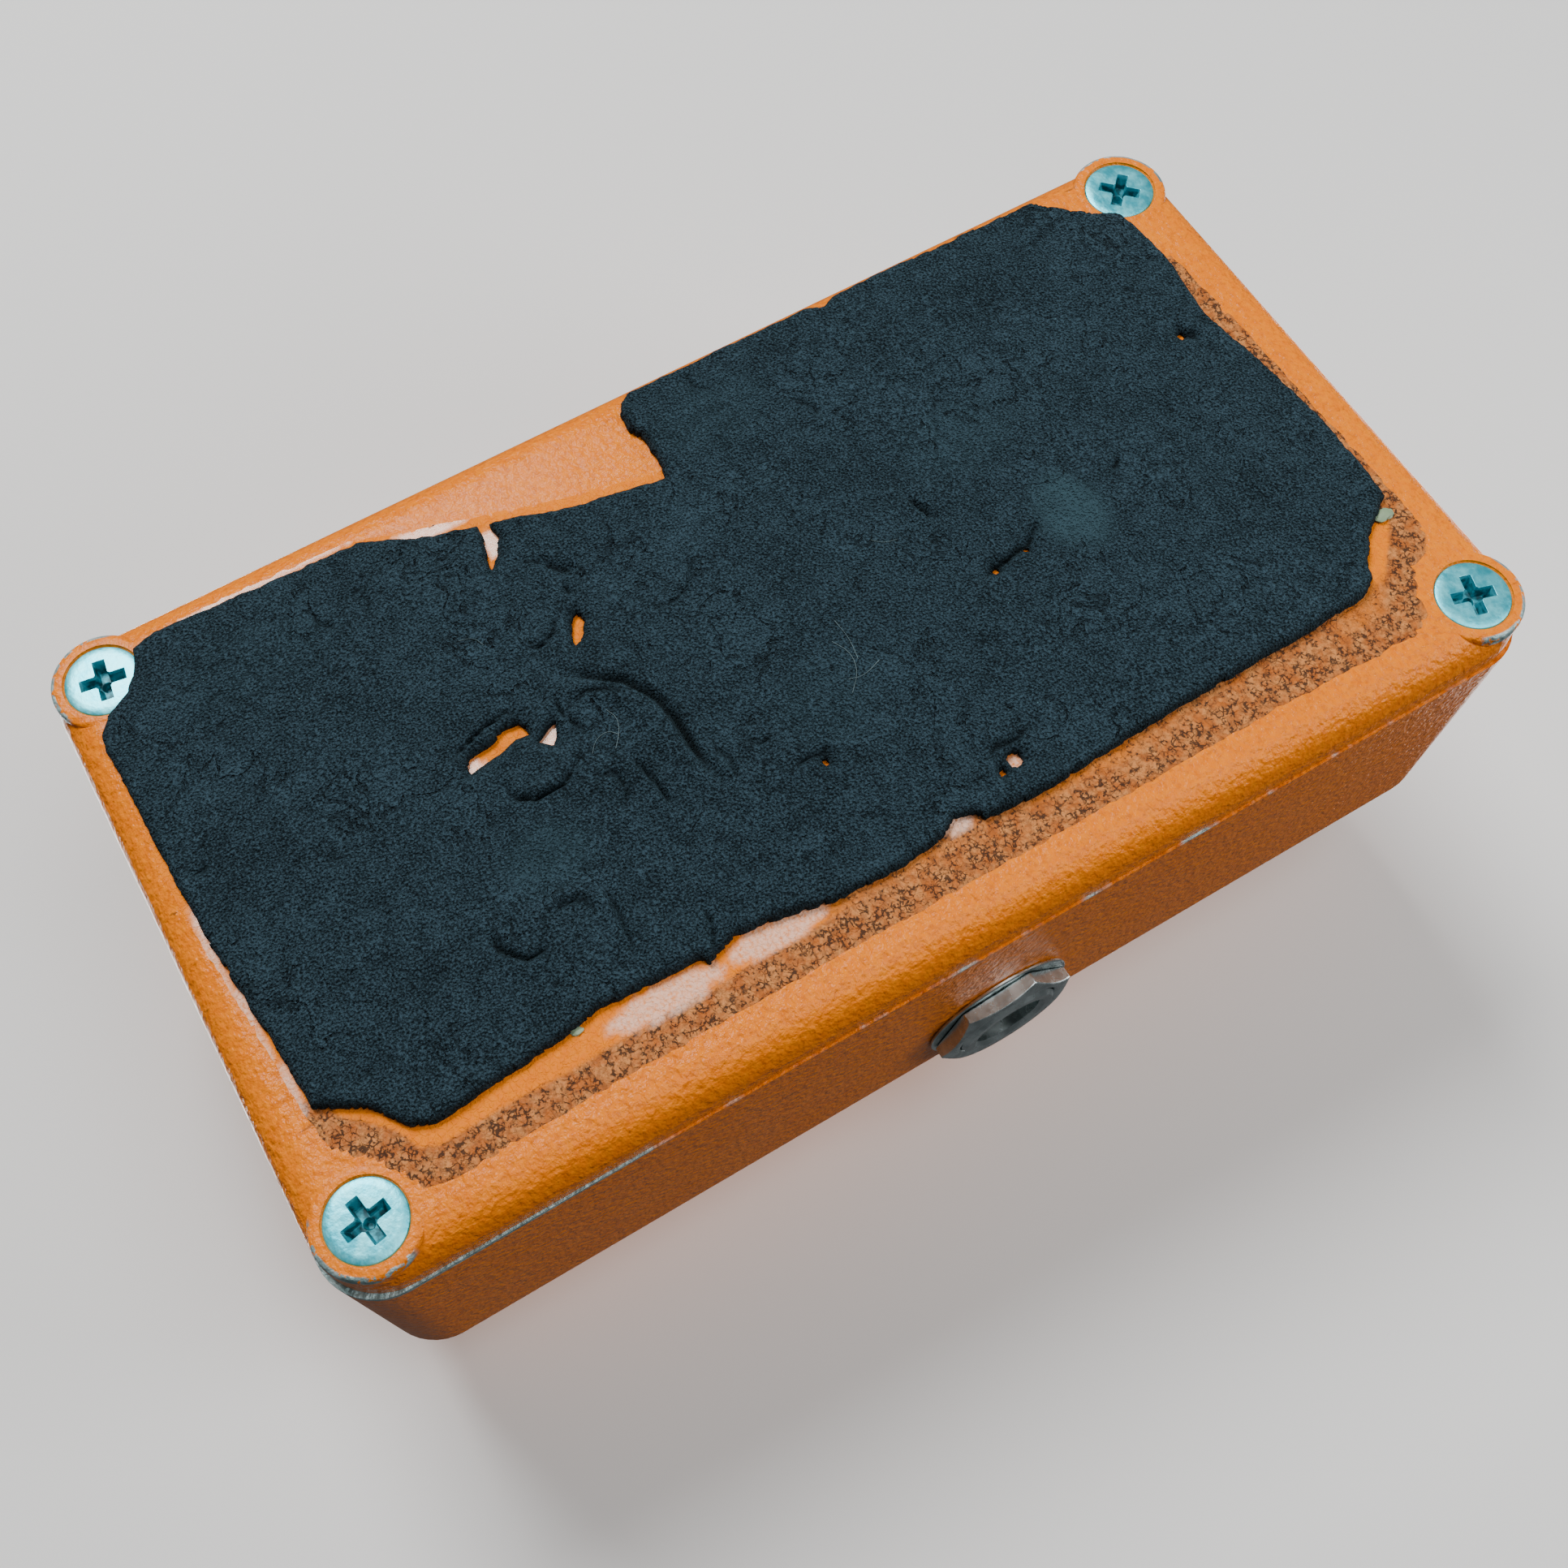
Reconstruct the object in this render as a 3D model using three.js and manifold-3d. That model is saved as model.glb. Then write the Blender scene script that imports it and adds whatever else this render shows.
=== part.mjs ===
// A guitar effects pedal in a small die-cast box: one knob, one footswitch, two jacks, a battery inside.
// Millimetres, +Z up. The foam pad's underside is at Z = 0, in the middle of the box.
// +Y is the knob end and -Y the footswitch end. The output jack is on -X and the input jack on +X.
import * as THREE from 'three';
import { mergeVertices } from 'three/addons/utils/BufferGeometryUtils.js';
import Module from 'manifold-3d';

const wasm = await Module();
wasm.setup();

// ---------- Driving dimensions ----------

// Box
const boxLength = 110.6;
const boxWidth = 60;
const boxHeight = 31.6; // from the base plate's outer face to the top panel
const wall = 2;
const bodyCornerRadius = 5;
const bodyEdgeFillet = 2;
const draft = 0.3; // each side leans in by this much from the parting line to the top

// Base plate, its screws and the foam pad
const padThickness = 1.5;
const plateHeight = 4.5;
const plateThickness = 2;
const plateFillet = 3.05;
const plateCornerRadius = 5.5;
const partingLedge = 0.2; // the body stands out past the base plate by this much
const flangeWall = 1.8;
const ribThickness = 1.2;
const ribRise = 1.5;
const screwInset = 4.7; // from the box's sides to each screw's axis
const earRadius = 4.35;
const earEdge = 0.4;
const screwHeadRadius = 3.22;
const screwShankRadius = 1.7;
const screwLength = 11;
const countersinkAngle = 82;
const recessWidth = 0.95;
const recessSpan = 3.8;
const recessDepth = 1.1;

// Jacks
const jackOffset = 3.2; // towards the knob end
const jackDrop = 9.2; // below the top panel
const plugDiameter = 6.35;
const bushingRadius = 4.76;
const bushingProud = 2.2;
const jackNutAcross = 11.6;
const jackNutThickness = 1.5;
const jackNutTurn = 0.19;
const jackWasherThickness = 0.35;
const jackWasherRim = 2.19;
const framePlate = 1.15;
const frameWidth = 15;
const frameReach = 7; // from the jack's axis to the frame's leg
const frameDepth = 16;
const legWidth = 10;
const insulatorHeight = 1.4;
const insulatorLength = 4.5;
const insulatorSetback = 8; // from the wall's inner face to the contact block
const leafThickness = 0.5;
const leafWidth = 3.2;
const tipReach = 26.5; // from the bushing's mouth to the tip contact's crest
const ringReach = 21.4;
const crestRun = 1.4; // each leaf's crest runs back this far and down half as far

// Potentiometer and knob
const knobFromEnd = 28.3;
const knobRadius = 10;
const knobTopRadius = 9.2;
const knobHeight = 12.6;
const knobFlutes = 18;
const fluteDepth = 0.5;
const knobGap = 2.8; // from the panel to the knob
const shaftRadius = 3;
const shaftLength = 21;
const potBushingRadius = 3.5;
const potBushingProud = 4;
const potNutAcross = 11;
const potNutThickness = 1.8;
const potWasherThickness = 0.5;
const potWasherRim = 3;
const potCanRadius = 12;
const potCanHeight = 9;
const potCanWall = 0.7;
const wiperThickness = 1.2;
const tongueHalfWidth = 7;
const tongueLength = 4; // past the can
const tongueRoot = 4; // from the axis
const setScrewRadius = 1.5;
const setScrewSink = 0.4;
const slotWidth = 0.6;
const slotDepth = 0.8;
const knobCap = 3.5; // from the shaft's end to the knob's top

// Footswitch
const switchFromEnd = 21.8;
const switchBushingRadius = 6;
const switchBushingProud = 7;
const switchBodyWidth = 20;
const switchBodyLength = 17.5;
const switchBodyHeight = 14;
const switchSetback = 3.1; // from the panel's underside to the switch's frame
const switchNutAcross = 14.5;
const switchNutThickness = 2.2;
const switchLowerNutThickness = 2;
const switchWasherThickness = 0.6;
const switchWasherRim = 3.2;
const plungerRadius = 4.5;
const plungerRise = 5.4; // above the bushing
const plungerTravel = 3;
const plungerCrown = 1.6;
const plungerFlange = 0.45; // the flange stands out past the plunger
const plungerFlangeHeight = 1.9;
const bushingLip = 1.2; // holds the flange in
const stemRadius = 2.6;
const springWire = 0.35;
const springTurns = 6;

// Battery and circuit board
const batteryLength = 46.4;
const batteryThickness = 17.5;
const batteryHeight = 26.5;
const snapThickness = 4.4;
const boardWidth = 48;
const boardLength = 32;
const boardThickness = 1.6;
const boardLift = 10.5; // from the base plate to the board
const wireRadius = 0.6;

// Clearances
const seatGap = 0.05; // faces that are screwed or glued together
const fitGap = 0.1; // pins, shanks and collars in their holes
const slideGap = 0.15; // moving pieces in their guides
const partGap = 0.3; // neighbours that are not fastened together
const partingGap = 0.15;

// Roundness
const cornerSteps = 5;
const filletSteps = 3;
const roundSides = 24;

// ---------- Places worked out from them ----------

const plateFace = padThickness;
const plateInside = plateFace + plateThickness;
const parting = plateFace + plateHeight;
const panelTop = plateFace + boxHeight;
const panelUnder = panelTop - wall;
const cavityHalfWidth = boxWidth / 2 - wall;
const cavityHalfLength = boxLength / 2 - wall;
const screwX = boxWidth / 2 - screwInset;
const screwY = boxLength / 2 - screwInset;
const corners = [[1, -1], [-1, -1], [-1, 1], [1, 1]];
const jackZ = panelTop - jackDrop;
const knobY = boxLength / 2 - knobFromEnd;
const switchY = switchFromEnd - boxLength / 2;

// ---------- Solids ----------

function solid(geometry) {
  const plain = geometry.clone();
  plain.deleteAttribute('normal');
  plain.deleteAttribute('uv');
  const merged = mergeVertices(plain, 1e-4);
  const kept = [];
  const index = merged.index.array;
  for (let i = 0; i < index.length; i += 3) {
    const [a, b, c] = [index[i], index[i + 1], index[i + 2]];
    if (a !== b && b !== c && c !== a) kept.push(a, b, c);
  }
  return new wasm.Manifold(new wasm.Mesh({
    numProp: 3,
    vertProperties: new Float32Array(merged.attributes.position.array),
    triVerts: new Uint32Array(kept),
  }));
}

function surface(manifold) {
  const mesh = manifold.getMesh();
  const geometry = new THREE.BufferGeometry();
  geometry.setAttribute('position', new THREE.BufferAttribute(mesh.vertProperties, 3));
  geometry.setIndex(new THREE.BufferAttribute(mesh.triVerts, 1));
  geometry.computeVertexNormals();
  return geometry;
}

function join(...pieces) {
  const whole = pieces.map(solid).reduce((sum, piece) => sum.add(piece));
  return surface(whole);
}

function cut(base, ...tools) {
  const whole = tools.map(solid).reduce((rest, tool) => rest.subtract(tool), solid(base));
  return surface(whole);
}

function block(x0, x1, y0, y1, z0, z1) {
  const geometry = new THREE.BoxGeometry(x1 - x0, y1 - y0, z1 - z0);
  return geometry.translate((x0 + x1) / 2, (y0 + y1) / 2, (z0 + z1) / 2);
}

function rod(radius, z0, z1, sides = roundSides) {
  const geometry = new THREE.CylinderGeometry(radius, radius, z1 - z0, sides);
  return geometry.rotateX(Math.PI / 2).translate(0, 0, (z0 + z1) / 2);
}

function hexagon(acrossFlats, z0, z1) {
  return rod(acrossFlats / Math.sqrt(3), z0, z1, 6);
}

// A profile of [radius, height] points, given from the bottom up, turned round the Z axis.
function turned(profile, sides = roundSides) {
  const points = profile.map(([radius, z]) => new THREE.Vector2(radius, z));
  return new THREE.LatheGeometry(points, sides).rotateX(Math.PI / 2);
}

function alongX(geometry) {
  return geometry.rotateY(Math.PI / 2);
}

function roundedShape(width, length, radius) {
  const x = width / 2 - radius;
  const y = length / 2 - radius;
  const shape = new THREE.Shape();
  shape.absarc(x, -y, radius, -Math.PI / 2, 0);
  shape.absarc(x, y, radius, 0, Math.PI / 2);
  shape.absarc(-x, y, radius, Math.PI / 2, Math.PI);
  shape.absarc(-x, -y, radius, Math.PI, 1.5 * Math.PI);
  return shape;
}

function slab(shape, z0, z1) {
  const settings = { depth: z1 - z0, bevelEnabled: false, curveSegments: cornerSteps };
  return new THREE.ExtrudeGeometry(shape, settings).translate(0, 0, z0);
}

// A slab with its edges rounded at both ends.
function softSlab(shape, z0, z1, fillet) {
  const geometry = new THREE.ExtrudeGeometry(shape, {
    depth: z1 - z0 - 2 * fillet,
    bevelThickness: fillet,
    bevelSize: fillet,
    bevelOffset: -fillet,
    bevelSegments: filletSteps,
    curveSegments: cornerSteps,
  });
  return geometry.translate(0, 0, z0 + fillet);
}

function leanIn(geometry, z0, z1, inset) {
  const position = geometry.attributes.position;
  for (let i = 0; i < position.count; i += 1) {
    const shift = inset * (position.getZ(i) - z0) / (z1 - z0);
    const x = position.getX(i);
    const y = position.getY(i);
    position.setXY(i, x - Math.sign(x) * shift, y - Math.sign(y) * shift);
  }
  return geometry;
}

function atScrews(makeTool) {
  return corners.map(([sx, sy]) => makeTool().translate(sx * screwX, sy * screwY, 0));
}

// A side view in the X-Z plane, extruded across Y.
function sideCut(points, y0, y1) {
  const shape = new THREE.Shape(points.map(([x, z]) => new THREE.Vector2(x, z)));
  const geometry = new THREE.ExtrudeGeometry(shape, { depth: y1 - y0, bevelEnabled: false });
  return geometry.rotateX(Math.PI / 2).translate(0, y1, 0);
}

// ---------- Scene ----------

const pedal = new THREE.Group();

function finish(color, roughness, metalness) {
  return () => new THREE.MeshStandardMaterial({ color, roughness, metalness });
}

const orangePaint = finish(0xe6801c, 0.4, 0.1);
const zinc = finish(0xb8c4c6, 0.35, 1);
const nickel = finish(0xc9c6bd, 0.25, 1);
const foam = finish(0x1d2b30, 0.95, 0);
const blackPlastic = finish(0x141414, 0.45, 0);
const brass = finish(0xb08d45, 0.35, 1);
const fibre = finish(0x6b3f24, 0.8, 0);
const boardGreen = finish(0x2f6b3a, 0.5, 0);
const redWire = finish(0xb32018, 0.5, 0);
const whiteWire = finish(0xd8d5c8, 0.5, 0);
const filmYellow = finish(0xb9a23a, 0.5, 0);
const trimmerBlue = finish(0x2a5fa8, 0.5, 0);

function place(name, geometry, material, parent = pedal) {
  const mesh = new THREE.Mesh(geometry, material());
  mesh.name = name;
  parent.add(mesh);
  return mesh;
}

// ---------- Enclosure ----------

function enclosureBody() {
  const bottom = parting + partingGap;
  const width = boxWidth + 2 * partingLedge;
  const length = boxLength + 2 * partingLedge;
  const tall = softSlab(roundedShape(width, length, bodyCornerRadius), bottom - 2 * bodyEdgeFillet,
    panelTop, bodyEdgeFillet);
  const outer = cut(leanIn(tall, bottom, panelTop, draft),
    block(-boxWidth, boxWidth, -boxLength, boxLength, bottom - 3 * bodyEdgeFillet, bottom));
  const cavityShape = roundedShape(2 * cavityHalfWidth, 2 * cavityHalfLength, bodyCornerRadius - wall);
  const posts = atScrews(() => rod(earRadius, bottom - 2, panelTop));
  const cavity = cut(slab(cavityShape, bottom - 1, panelUnder), ...posts);
  const pilots = atScrews(() => rod(screwShankRadius + fitGap, bottom - 1, plateFace + screwLength + 1));
  const jackHole = alongX(rod(bushingRadius + fitGap, -boxWidth, boxWidth)).translate(0, jackOffset, jackZ);
  const knobHole = rod(potBushingRadius + fitGap, panelUnder - 1, panelTop + 1).translate(0, knobY, 0);
  const switchHole = rod(switchBushingRadius + fitGap, panelUnder - 1, panelTop + 1);
  switchHole.translate(0, switchY, 0);
  return cut(outer, cavity, ...pilots, jackHole, knobHole, switchHole);
}

const countersinkDepth = (screwHeadRadius - screwShankRadius) / Math.tan(countersinkAngle * Math.PI / 360);

function basePlate() {
  const shape = roundedShape(boxWidth, boxLength, plateCornerRadius);
  const tall = softSlab(shape, plateFace, parting + 2 * plateFillet, plateFillet);
  const ears = atScrews(() => turned([
    [0, plateFace],
    [earRadius - earEdge, plateFace],
    [earRadius - 0.3 * earEdge, plateFace + 0.3 * earEdge],
    [earRadius, plateFace + earEdge],
    [earRadius, parting + 1],
    [0, parting + 1],
  ]));
  const above = block(-boxWidth, boxWidth, -boxLength, boxLength, parting, parting + 3 * plateFillet);
  const outer = cut(join(tall, ...ears), above);
  const innerShape = roundedShape(boxWidth - 2 * flangeWall, boxLength - 2 * flangeWall,
    plateCornerRadius - flangeWall);
  const bosses = atScrews(() => rod(earRadius, plateInside - 1, parting + 1));
  const hollow = cut(slab(innerShape, plateInside, parting + 0.5), ...bosses);
  const ribWidth = 2 * (cavityHalfWidth - partGap);
  const ribLength = 2 * (cavityHalfLength - partGap);
  const ribRadius = bodyCornerRadius - wall;
  const ribTop = parting + ribRise;
  const ribShape = roundedShape(ribWidth, ribLength, ribRadius);
  const ribHole = roundedShape(ribWidth - 2 * ribThickness, ribLength - 2 * ribThickness,
    ribRadius - ribThickness);
  const clearPosts = atScrews(() => rod(earRadius + partGap, plateInside - 1, ribTop + 1));
  const rib = cut(slab(ribShape, plateInside - 1, ribTop), slab(ribHole, plateInside - 2, ribTop + 1),
    ...clearPosts);
  const headTop = screwHeadRadius + fitGap;
  const shankHole = screwShankRadius + fitGap;
  const screwHoles = atScrews(() => turned([
    [0, plateFace - 1],
    [headTop, plateFace - 1],
    [headTop, plateFace],
    [shankHole, plateFace + countersinkDepth],
    [shankHole, parting + 1],
    [0, parting + 1],
  ]));
  return cut(join(cut(outer, hollow), rib), ...screwHoles);
}

function baseScrew() {
  const head = turned([
    [0, plateFace],
    [screwHeadRadius - 0.05, plateFace],
    [screwHeadRadius, plateFace + 0.05],
    [screwShankRadius, plateFace + countersinkDepth],
    [screwShankRadius, plateFace + screwLength - 1],
    [0.5 * screwShankRadius, plateFace + screwLength],
    [0, plateFace + screwLength],
  ], 20);
  const [long, short] = [recessSpan / 2, recessWidth / 2];
  const slots = [
    block(-long, long, -short, short, plateFace - 1, plateFace + recessDepth),
    block(-short, short, -long, long, plateFace - 1, plateFace + recessDepth),
  ];
  return cut(head, ...slots);
}

// The pad's outline, as points measured inwards from the box's four sides: [side, in, end, in].
// It has slipped towards +X, lies over the rim of one screw, and has lost a piece on that side.
const padOutline = [
  [1, 10, -1, 2.8], [1, 8.5, -1, 3.8], [1, 7, -1, 6.3], [1, 5.5, -1, 7.3], [1, 3.7, -1, 8], [1, 3, -1, 10.3],
  [1, 3.4, -1, 15.3], [1, 3.8, -1, 27.3], [1, 7.5, -1, 37.3], [1, 9.2, -1, 43.3], [1, 11.4, -1, 53.8],
  [1, 6, -1, 54], [1, 2.2, -1, 54.8], [1, 2.2, 1, 13.3], [1, 5, 1, 10.3], [1, 7.5, 1, 6.8], [1, 10, 1, 6.3],
  [1, 21, 1, 6.8], [-1, 30, 1, 5.5], [-1, 20, 1, 4.9], [-1, 16, 1, 5.3], [-1, 14.5, 1, 7.3],
  [-1, 11.5, 1, 10.5], [-1, 9, 1, 12.8], [-1, 8.5, 1, 35.3], [-1, 7.8, 1, 45.3], [-1, 9.2, 1, 52.3],
  [-1, 8.1, -1, 50.3], [-1, 9.7, -1, 40.3], [-1, 9, -1, 35.3], [-1, 9.6, -1, 27.3], [-1, 8.5, -1, 12.3],
  [-1, 9, -1, 10.3], [-1, 12.5, -1, 7.3], [-1, 14, -1, 4.8], [-1, 20, -1, 4.3], [-1, 30, -1, 3.3],
];

function foamPad() {
  const points = padOutline.map(([side, inX, end, inY]) => (
    new THREE.Vector2(side * (boxWidth / 2 - inX), end * (boxLength / 2 - inY))
  ));
  return slab(new THREE.Shape(points), 0, plateFace - seatGap);
}

place('enclosure_body', enclosureBody(), orangePaint);
place('base_plate', basePlate(), orangePaint);
corners.forEach(([sx, sy], i) => {
  const screw = place(`base_screw_${i + 1}`, baseScrew(), zinc);
  screw.position.set(sx * screwX, sy * screwY, 0);
});
place('foam_pad', foamPad(), foam);

// ---------- Jacks ----------

// Each jack is drawn with +X out of the box and X = 0 on the wall's outer face.
const frameOut = -wall - seatGap;
const frameIn = frameOut - framePlate;
const frameTop = panelUnder - jackZ - slideGap;
const legBottom = -frameReach;
const legTop = legBottom + framePlate;
const insulatorTop = legTop + seatGap + insulatorHeight;
const leafBottom = insulatorTop + fitGap;
const leafTop = leafBottom + leafThickness;
const insulatorOut = frameOut - insulatorSetback;
const insulatorIn = insulatorOut - insulatorLength;
const leafRoot = insulatorOut - 0.5;
const washerOut = fitGap + jackWasherThickness;
const nutIn = washerOut + seatGap;
const plugRadius = plugDiameter / 2;

function jackFrame() {
  const half = frameWidth / 2;
  const facePlate = block(frameIn, frameOut, -half, half, legBottom, frameTop);
  const leg = block(frameOut - frameDepth, frameOut, -legWidth / 2, legWidth / 2, legBottom, legTop);
  const bushing = alongX(rod(bushingRadius, frameIn, bushingProud));
  const bore = alongX(rod(plugRadius + fitGap, frameIn - 1, bushingProud + 1));
  return cut(join(facePlate, leg, bushing), bore);
}

function jackWasher() {
  const disc = rod(bushingRadius + jackWasherRim, fitGap, washerOut);
  return alongX(cut(disc, rod(bushingRadius + fitGap, -1, washerOut + 1)));
}

function jackNut() {
  const nut = hexagon(jackNutAcross, nutIn, nutIn + jackNutThickness);
  const bore = rod(bushingRadius + fitGap, -1, nutIn + jackNutThickness + 1);
  return alongX(cut(nut, bore).rotateZ(jackNutTurn));
}

function jackInsulator() {
  const half = leafWidth + 2 * partGap;
  return block(insulatorIn, insulatorOut, -half, half, legTop + seatGap, insulatorTop);
}

// A contact leaf: flat from its root, then bent up to a crest that presses on the plug.
function contactLeaf(crestX, crestZ, y0, y1) {
  const bendX = crestX + 2.4 * (crestZ - leafTop);
  return sideCut([
    [leafRoot, leafBottom],
    [leafRoot, leafTop],
    [bendX, leafTop],
    [crestX, crestZ],
    [crestX - crestRun, crestZ - crestRun / 2],
    [crestX - crestRun, crestZ - crestRun / 2 - leafThickness],
    [crestX, crestZ - leafThickness],
    [bendX + 0.2, leafBottom],
  ], y0, y1);
}

const tipCrest = bushingProud - tipReach;
const ringCrest = bushingProud - ringReach;
const tipCrestZ = 0.8 - plugRadius;
const ringCrestZ = 0.3 - plugRadius;

function jack(side, label) {
  const group = new THREE.Group();
  group.position.set(side * boxWidth / 2, jackOffset, jackZ);
  group.rotation.z = side > 0 ? 0 : Math.PI;
  pedal.add(group);
  place(`${label}_jack_frame`, jackFrame(), nickel, group);
  place(`${label}_jack_washer`, jackWasher(), nickel, group);
  place(`${label}_jack_nut`, jackNut(), nickel, group);
  place(`${label}_jack_insulator`, jackInsulator(), fibre, group);
  return group;
}

const outputJack = jack(-1, 'output');
place('output_tip_spring', contactLeaf(tipCrest, tipCrestZ, -leafWidth / 2, leafWidth / 2), brass,
  outputJack);
const inputJack = jack(1, 'input');
const leafNear = partGap / 2;
const leafFar = leafNear + leafWidth;
place('input_tip_spring', contactLeaf(tipCrest, tipCrestZ, -leafFar, -leafNear), brass, inputJack);
place('input_ring_spring', contactLeaf(ringCrest, ringCrestZ, leafNear, leafFar), brass, inputJack);

// ---------- Potentiometer and knob ----------

const potFace = panelUnder - seatGap;
const potPlate = 1.05;
const potPlateUnder = potFace - potPlate;
const trackTop = potPlateUnder - seatGap;
const trackThickness = 1.3;
const canBottom = potPlateUnder - potCanHeight;
const boardBottom = plateInside + boardLift;
const boardTop = boardBottom + boardThickness;
const knobBottom = panelTop + knobGap;
const knobTop = knobBottom + knobHeight;
const shaftTop = knobTop - knobCap;

function potBushing() {
  const plate = rod(potCanRadius, potPlateUnder, potFace);
  const bushing = rod(potBushingRadius, potPlateUnder, panelTop + potBushingProud);
  const bore = rod(shaftRadius + slideGap, potPlateUnder - 1, panelTop + potBushingProud + 1);
  return cut(join(plate, bushing), bore);
}

function potCan() {
  return turned([
    [0, canBottom],
    [potCanRadius, canBottom],
    [potCanRadius, potPlateUnder - seatGap],
    [potCanRadius - potCanWall, potPlateUnder - seatGap],
    [potCanRadius - potCanWall, canBottom + potCanWall],
    [0, canBottom + potCanWall],
  ]);
}

function potTrack() {
  const disc = rod(potCanRadius - potCanWall - partGap, trackTop - trackThickness, trackTop, 24);
  const tongueEnd = potCanRadius + tongueLength;
  const lugs = [-5, 0, 5].map((x) => (
    block(x - 0.8, x + 0.8, tongueEnd - 1.6, tongueEnd - 0.9, boardTop + partGap, trackTop - 0.2)
  ));
  const tongue = block(-tongueHalfWidth, tongueHalfWidth, tongueRoot, tongueEnd,
    trackTop - trackThickness, trackTop);
  return cut(join(disc, tongue, ...lugs), rod(shaftRadius + 0.5, canBottom, potFace));
}

// The can is notched where the track's tongue leaves it.
function notchedCan() {
  const half = tongueHalfWidth + partGap;
  const notch = block(-half, half, tongueRoot, potCanRadius + 2, trackTop - trackThickness - partGap,
    potPlateUnder + 1);
  return cut(potCan(), notch);
}

function potShaft() {
  const discTop = trackTop - trackThickness - partGap;
  const discBottom = discTop - wiperThickness;
  const discRadius = potCanRadius - potCanWall - 1;
  return turned([
    [0, shaftTop - shaftLength],
    [shaftRadius, shaftTop - shaftLength],
    [shaftRadius, discBottom],
    [discRadius, discBottom],
    [discRadius, discTop],
    [shaftRadius, discTop],
    [shaftRadius, shaftTop],
    [0, shaftTop],
  ]);
}

function potNut(z0) {
  const nut = hexagon(potNutAcross, z0, z0 + potNutThickness);
  return cut(nut, rod(potBushingRadius + fitGap, z0 - 1, z0 + potNutThickness + 1));
}

function ring(inner, outer, z0, z1) {
  return cut(rod(outer, z0, z1), rod(inner, z0 - 1, z1 + 1));
}

const setScrewZ = (knobBottom + shaftTop) / 2 + 1;
const setScrewOuter = knobTopRadius - fluteDepth - setScrewSink;

function speedKnob() {
  const points = [];
  const steps = 2 * knobFlutes;
  for (let i = 0; i < steps; i += 1) {
    const angle = i * Math.PI / knobFlutes;
    const radius = knobRadius - (i % 2) * fluteDepth;
    points.push(new THREE.Vector2(radius * Math.cos(angle), radius * Math.sin(angle)));
  }
  const settings = { depth: knobHeight, bevelEnabled: false };
  const fluted = new THREE.ExtrudeGeometry(new THREE.Shape(points), settings);
  fluted.translate(0, 0, knobBottom);
  const outer = leanIn(fluted, knobBottom, knobTop, (knobRadius - knobTopRadius) * Math.SQRT1_2);
  const shaftBore = rod(shaftRadius + fitGap, knobBottom - 1, shaftTop + fitGap);
  const bushingTop = panelTop + potBushingProud;
  const bushingBore = rod(potBushingRadius + partGap, knobBottom - 1, bushingTop + partGap);
  const screwBore = rod(setScrewRadius + fitGap, 0, knobRadius + 2, 16);
  screwBore.rotateX(Math.PI / 2).translate(0, 0, setScrewZ);
  return cut(outer, shaftBore, bushingBore, screwBore);
}

function setScrew() {
  const inner = shaftRadius + fitGap;
  const screw = cut(rod(setScrewRadius, inner, setScrewOuter, 16),
    block(-slotWidth / 2, slotWidth / 2, -2, 2, setScrewOuter - slotDepth, setScrewOuter + 1));
  return screw.rotateX(Math.PI / 2).translate(0, 0, setScrewZ);
}

const potGroup = new THREE.Group();
potGroup.position.y = knobY;
pedal.add(potGroup);
const potWasherBottom = panelTop + seatGap;
const potNutBottom = potWasherBottom + potWasherThickness + seatGap;
place('pot_bushing', potBushing(), nickel, potGroup);
place('pot_can', notchedCan(), nickel, potGroup);
place('pot_track', potTrack(), fibre, potGroup);
place('pot_shaft', potShaft(), nickel, potGroup);
place('pot_washer', ring(potBushingRadius + fitGap, potBushingRadius + potWasherRim, potWasherBottom,
  potWasherBottom + potWasherThickness), nickel, potGroup);
place('pot_nut', potNut(potNutBottom), nickel, potGroup);
place('speed_knob', speedKnob(), blackPlastic, potGroup);
place('knob_set_screw', setScrew(), zinc, potGroup);

// ---------- Footswitch ----------

const switchFrameTop = panelUnder - switchSetback;
const switchFrameUnder = switchFrameTop - 1;
const switchBodyTop = switchFrameUnder - seatGap;
const switchBodyBottom = switchBodyTop - switchBodyHeight;
const switchBushingTop = panelTop + switchBushingProud;
const lipBottom = switchBushingTop - bushingLip;
const flangeRadius = plungerRadius + plungerFlange;
const flangeTop = lipBottom - fitGap;
const flangeBottom = flangeTop - plungerFlangeHeight;
const stemBottom = switchFrameTop - 4;
const lugReach = 4.5;

function switchFrame() {
  const [halfW, halfL] = [switchBodyWidth / 2, switchBodyLength / 2];
  const plate = block(-halfW, halfW, -halfL, halfL, switchFrameUnder, switchFrameTop);
  const bushing = rod(switchBushingRadius, switchFrameUnder, switchBushingTop);
  const bore = turned([
    [0, switchFrameUnder - 1],
    [stemRadius + slideGap, switchFrameUnder - 1],
    [stemRadius + slideGap, switchFrameTop],
    [flangeRadius + slideGap, switchFrameTop],
    [flangeRadius + slideGap, lipBottom],
    [plungerRadius + slideGap, lipBottom],
    [plungerRadius + slideGap, switchBushingTop + 1],
    [0, switchBushingTop + 1],
  ]);
  return cut(join(plate, bushing), bore);
}

function switchPlunger() {
  const domeTop = switchBushingTop + plungerRise;
  return turned([
    [0, stemBottom],
    [stemRadius, stemBottom],
    [stemRadius, flangeBottom],
    [flangeRadius, flangeBottom],
    [flangeRadius, flangeTop],
    [plungerRadius, flangeTop],
    [plungerRadius, domeTop - plungerCrown],
    [0.93 * plungerRadius, domeTop - 0.5 * plungerCrown],
    [0.72 * plungerRadius, domeTop - 0.15 * plungerCrown],
    [0.4 * plungerRadius, domeTop],
    [0, domeTop],
  ]);
}

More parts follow.
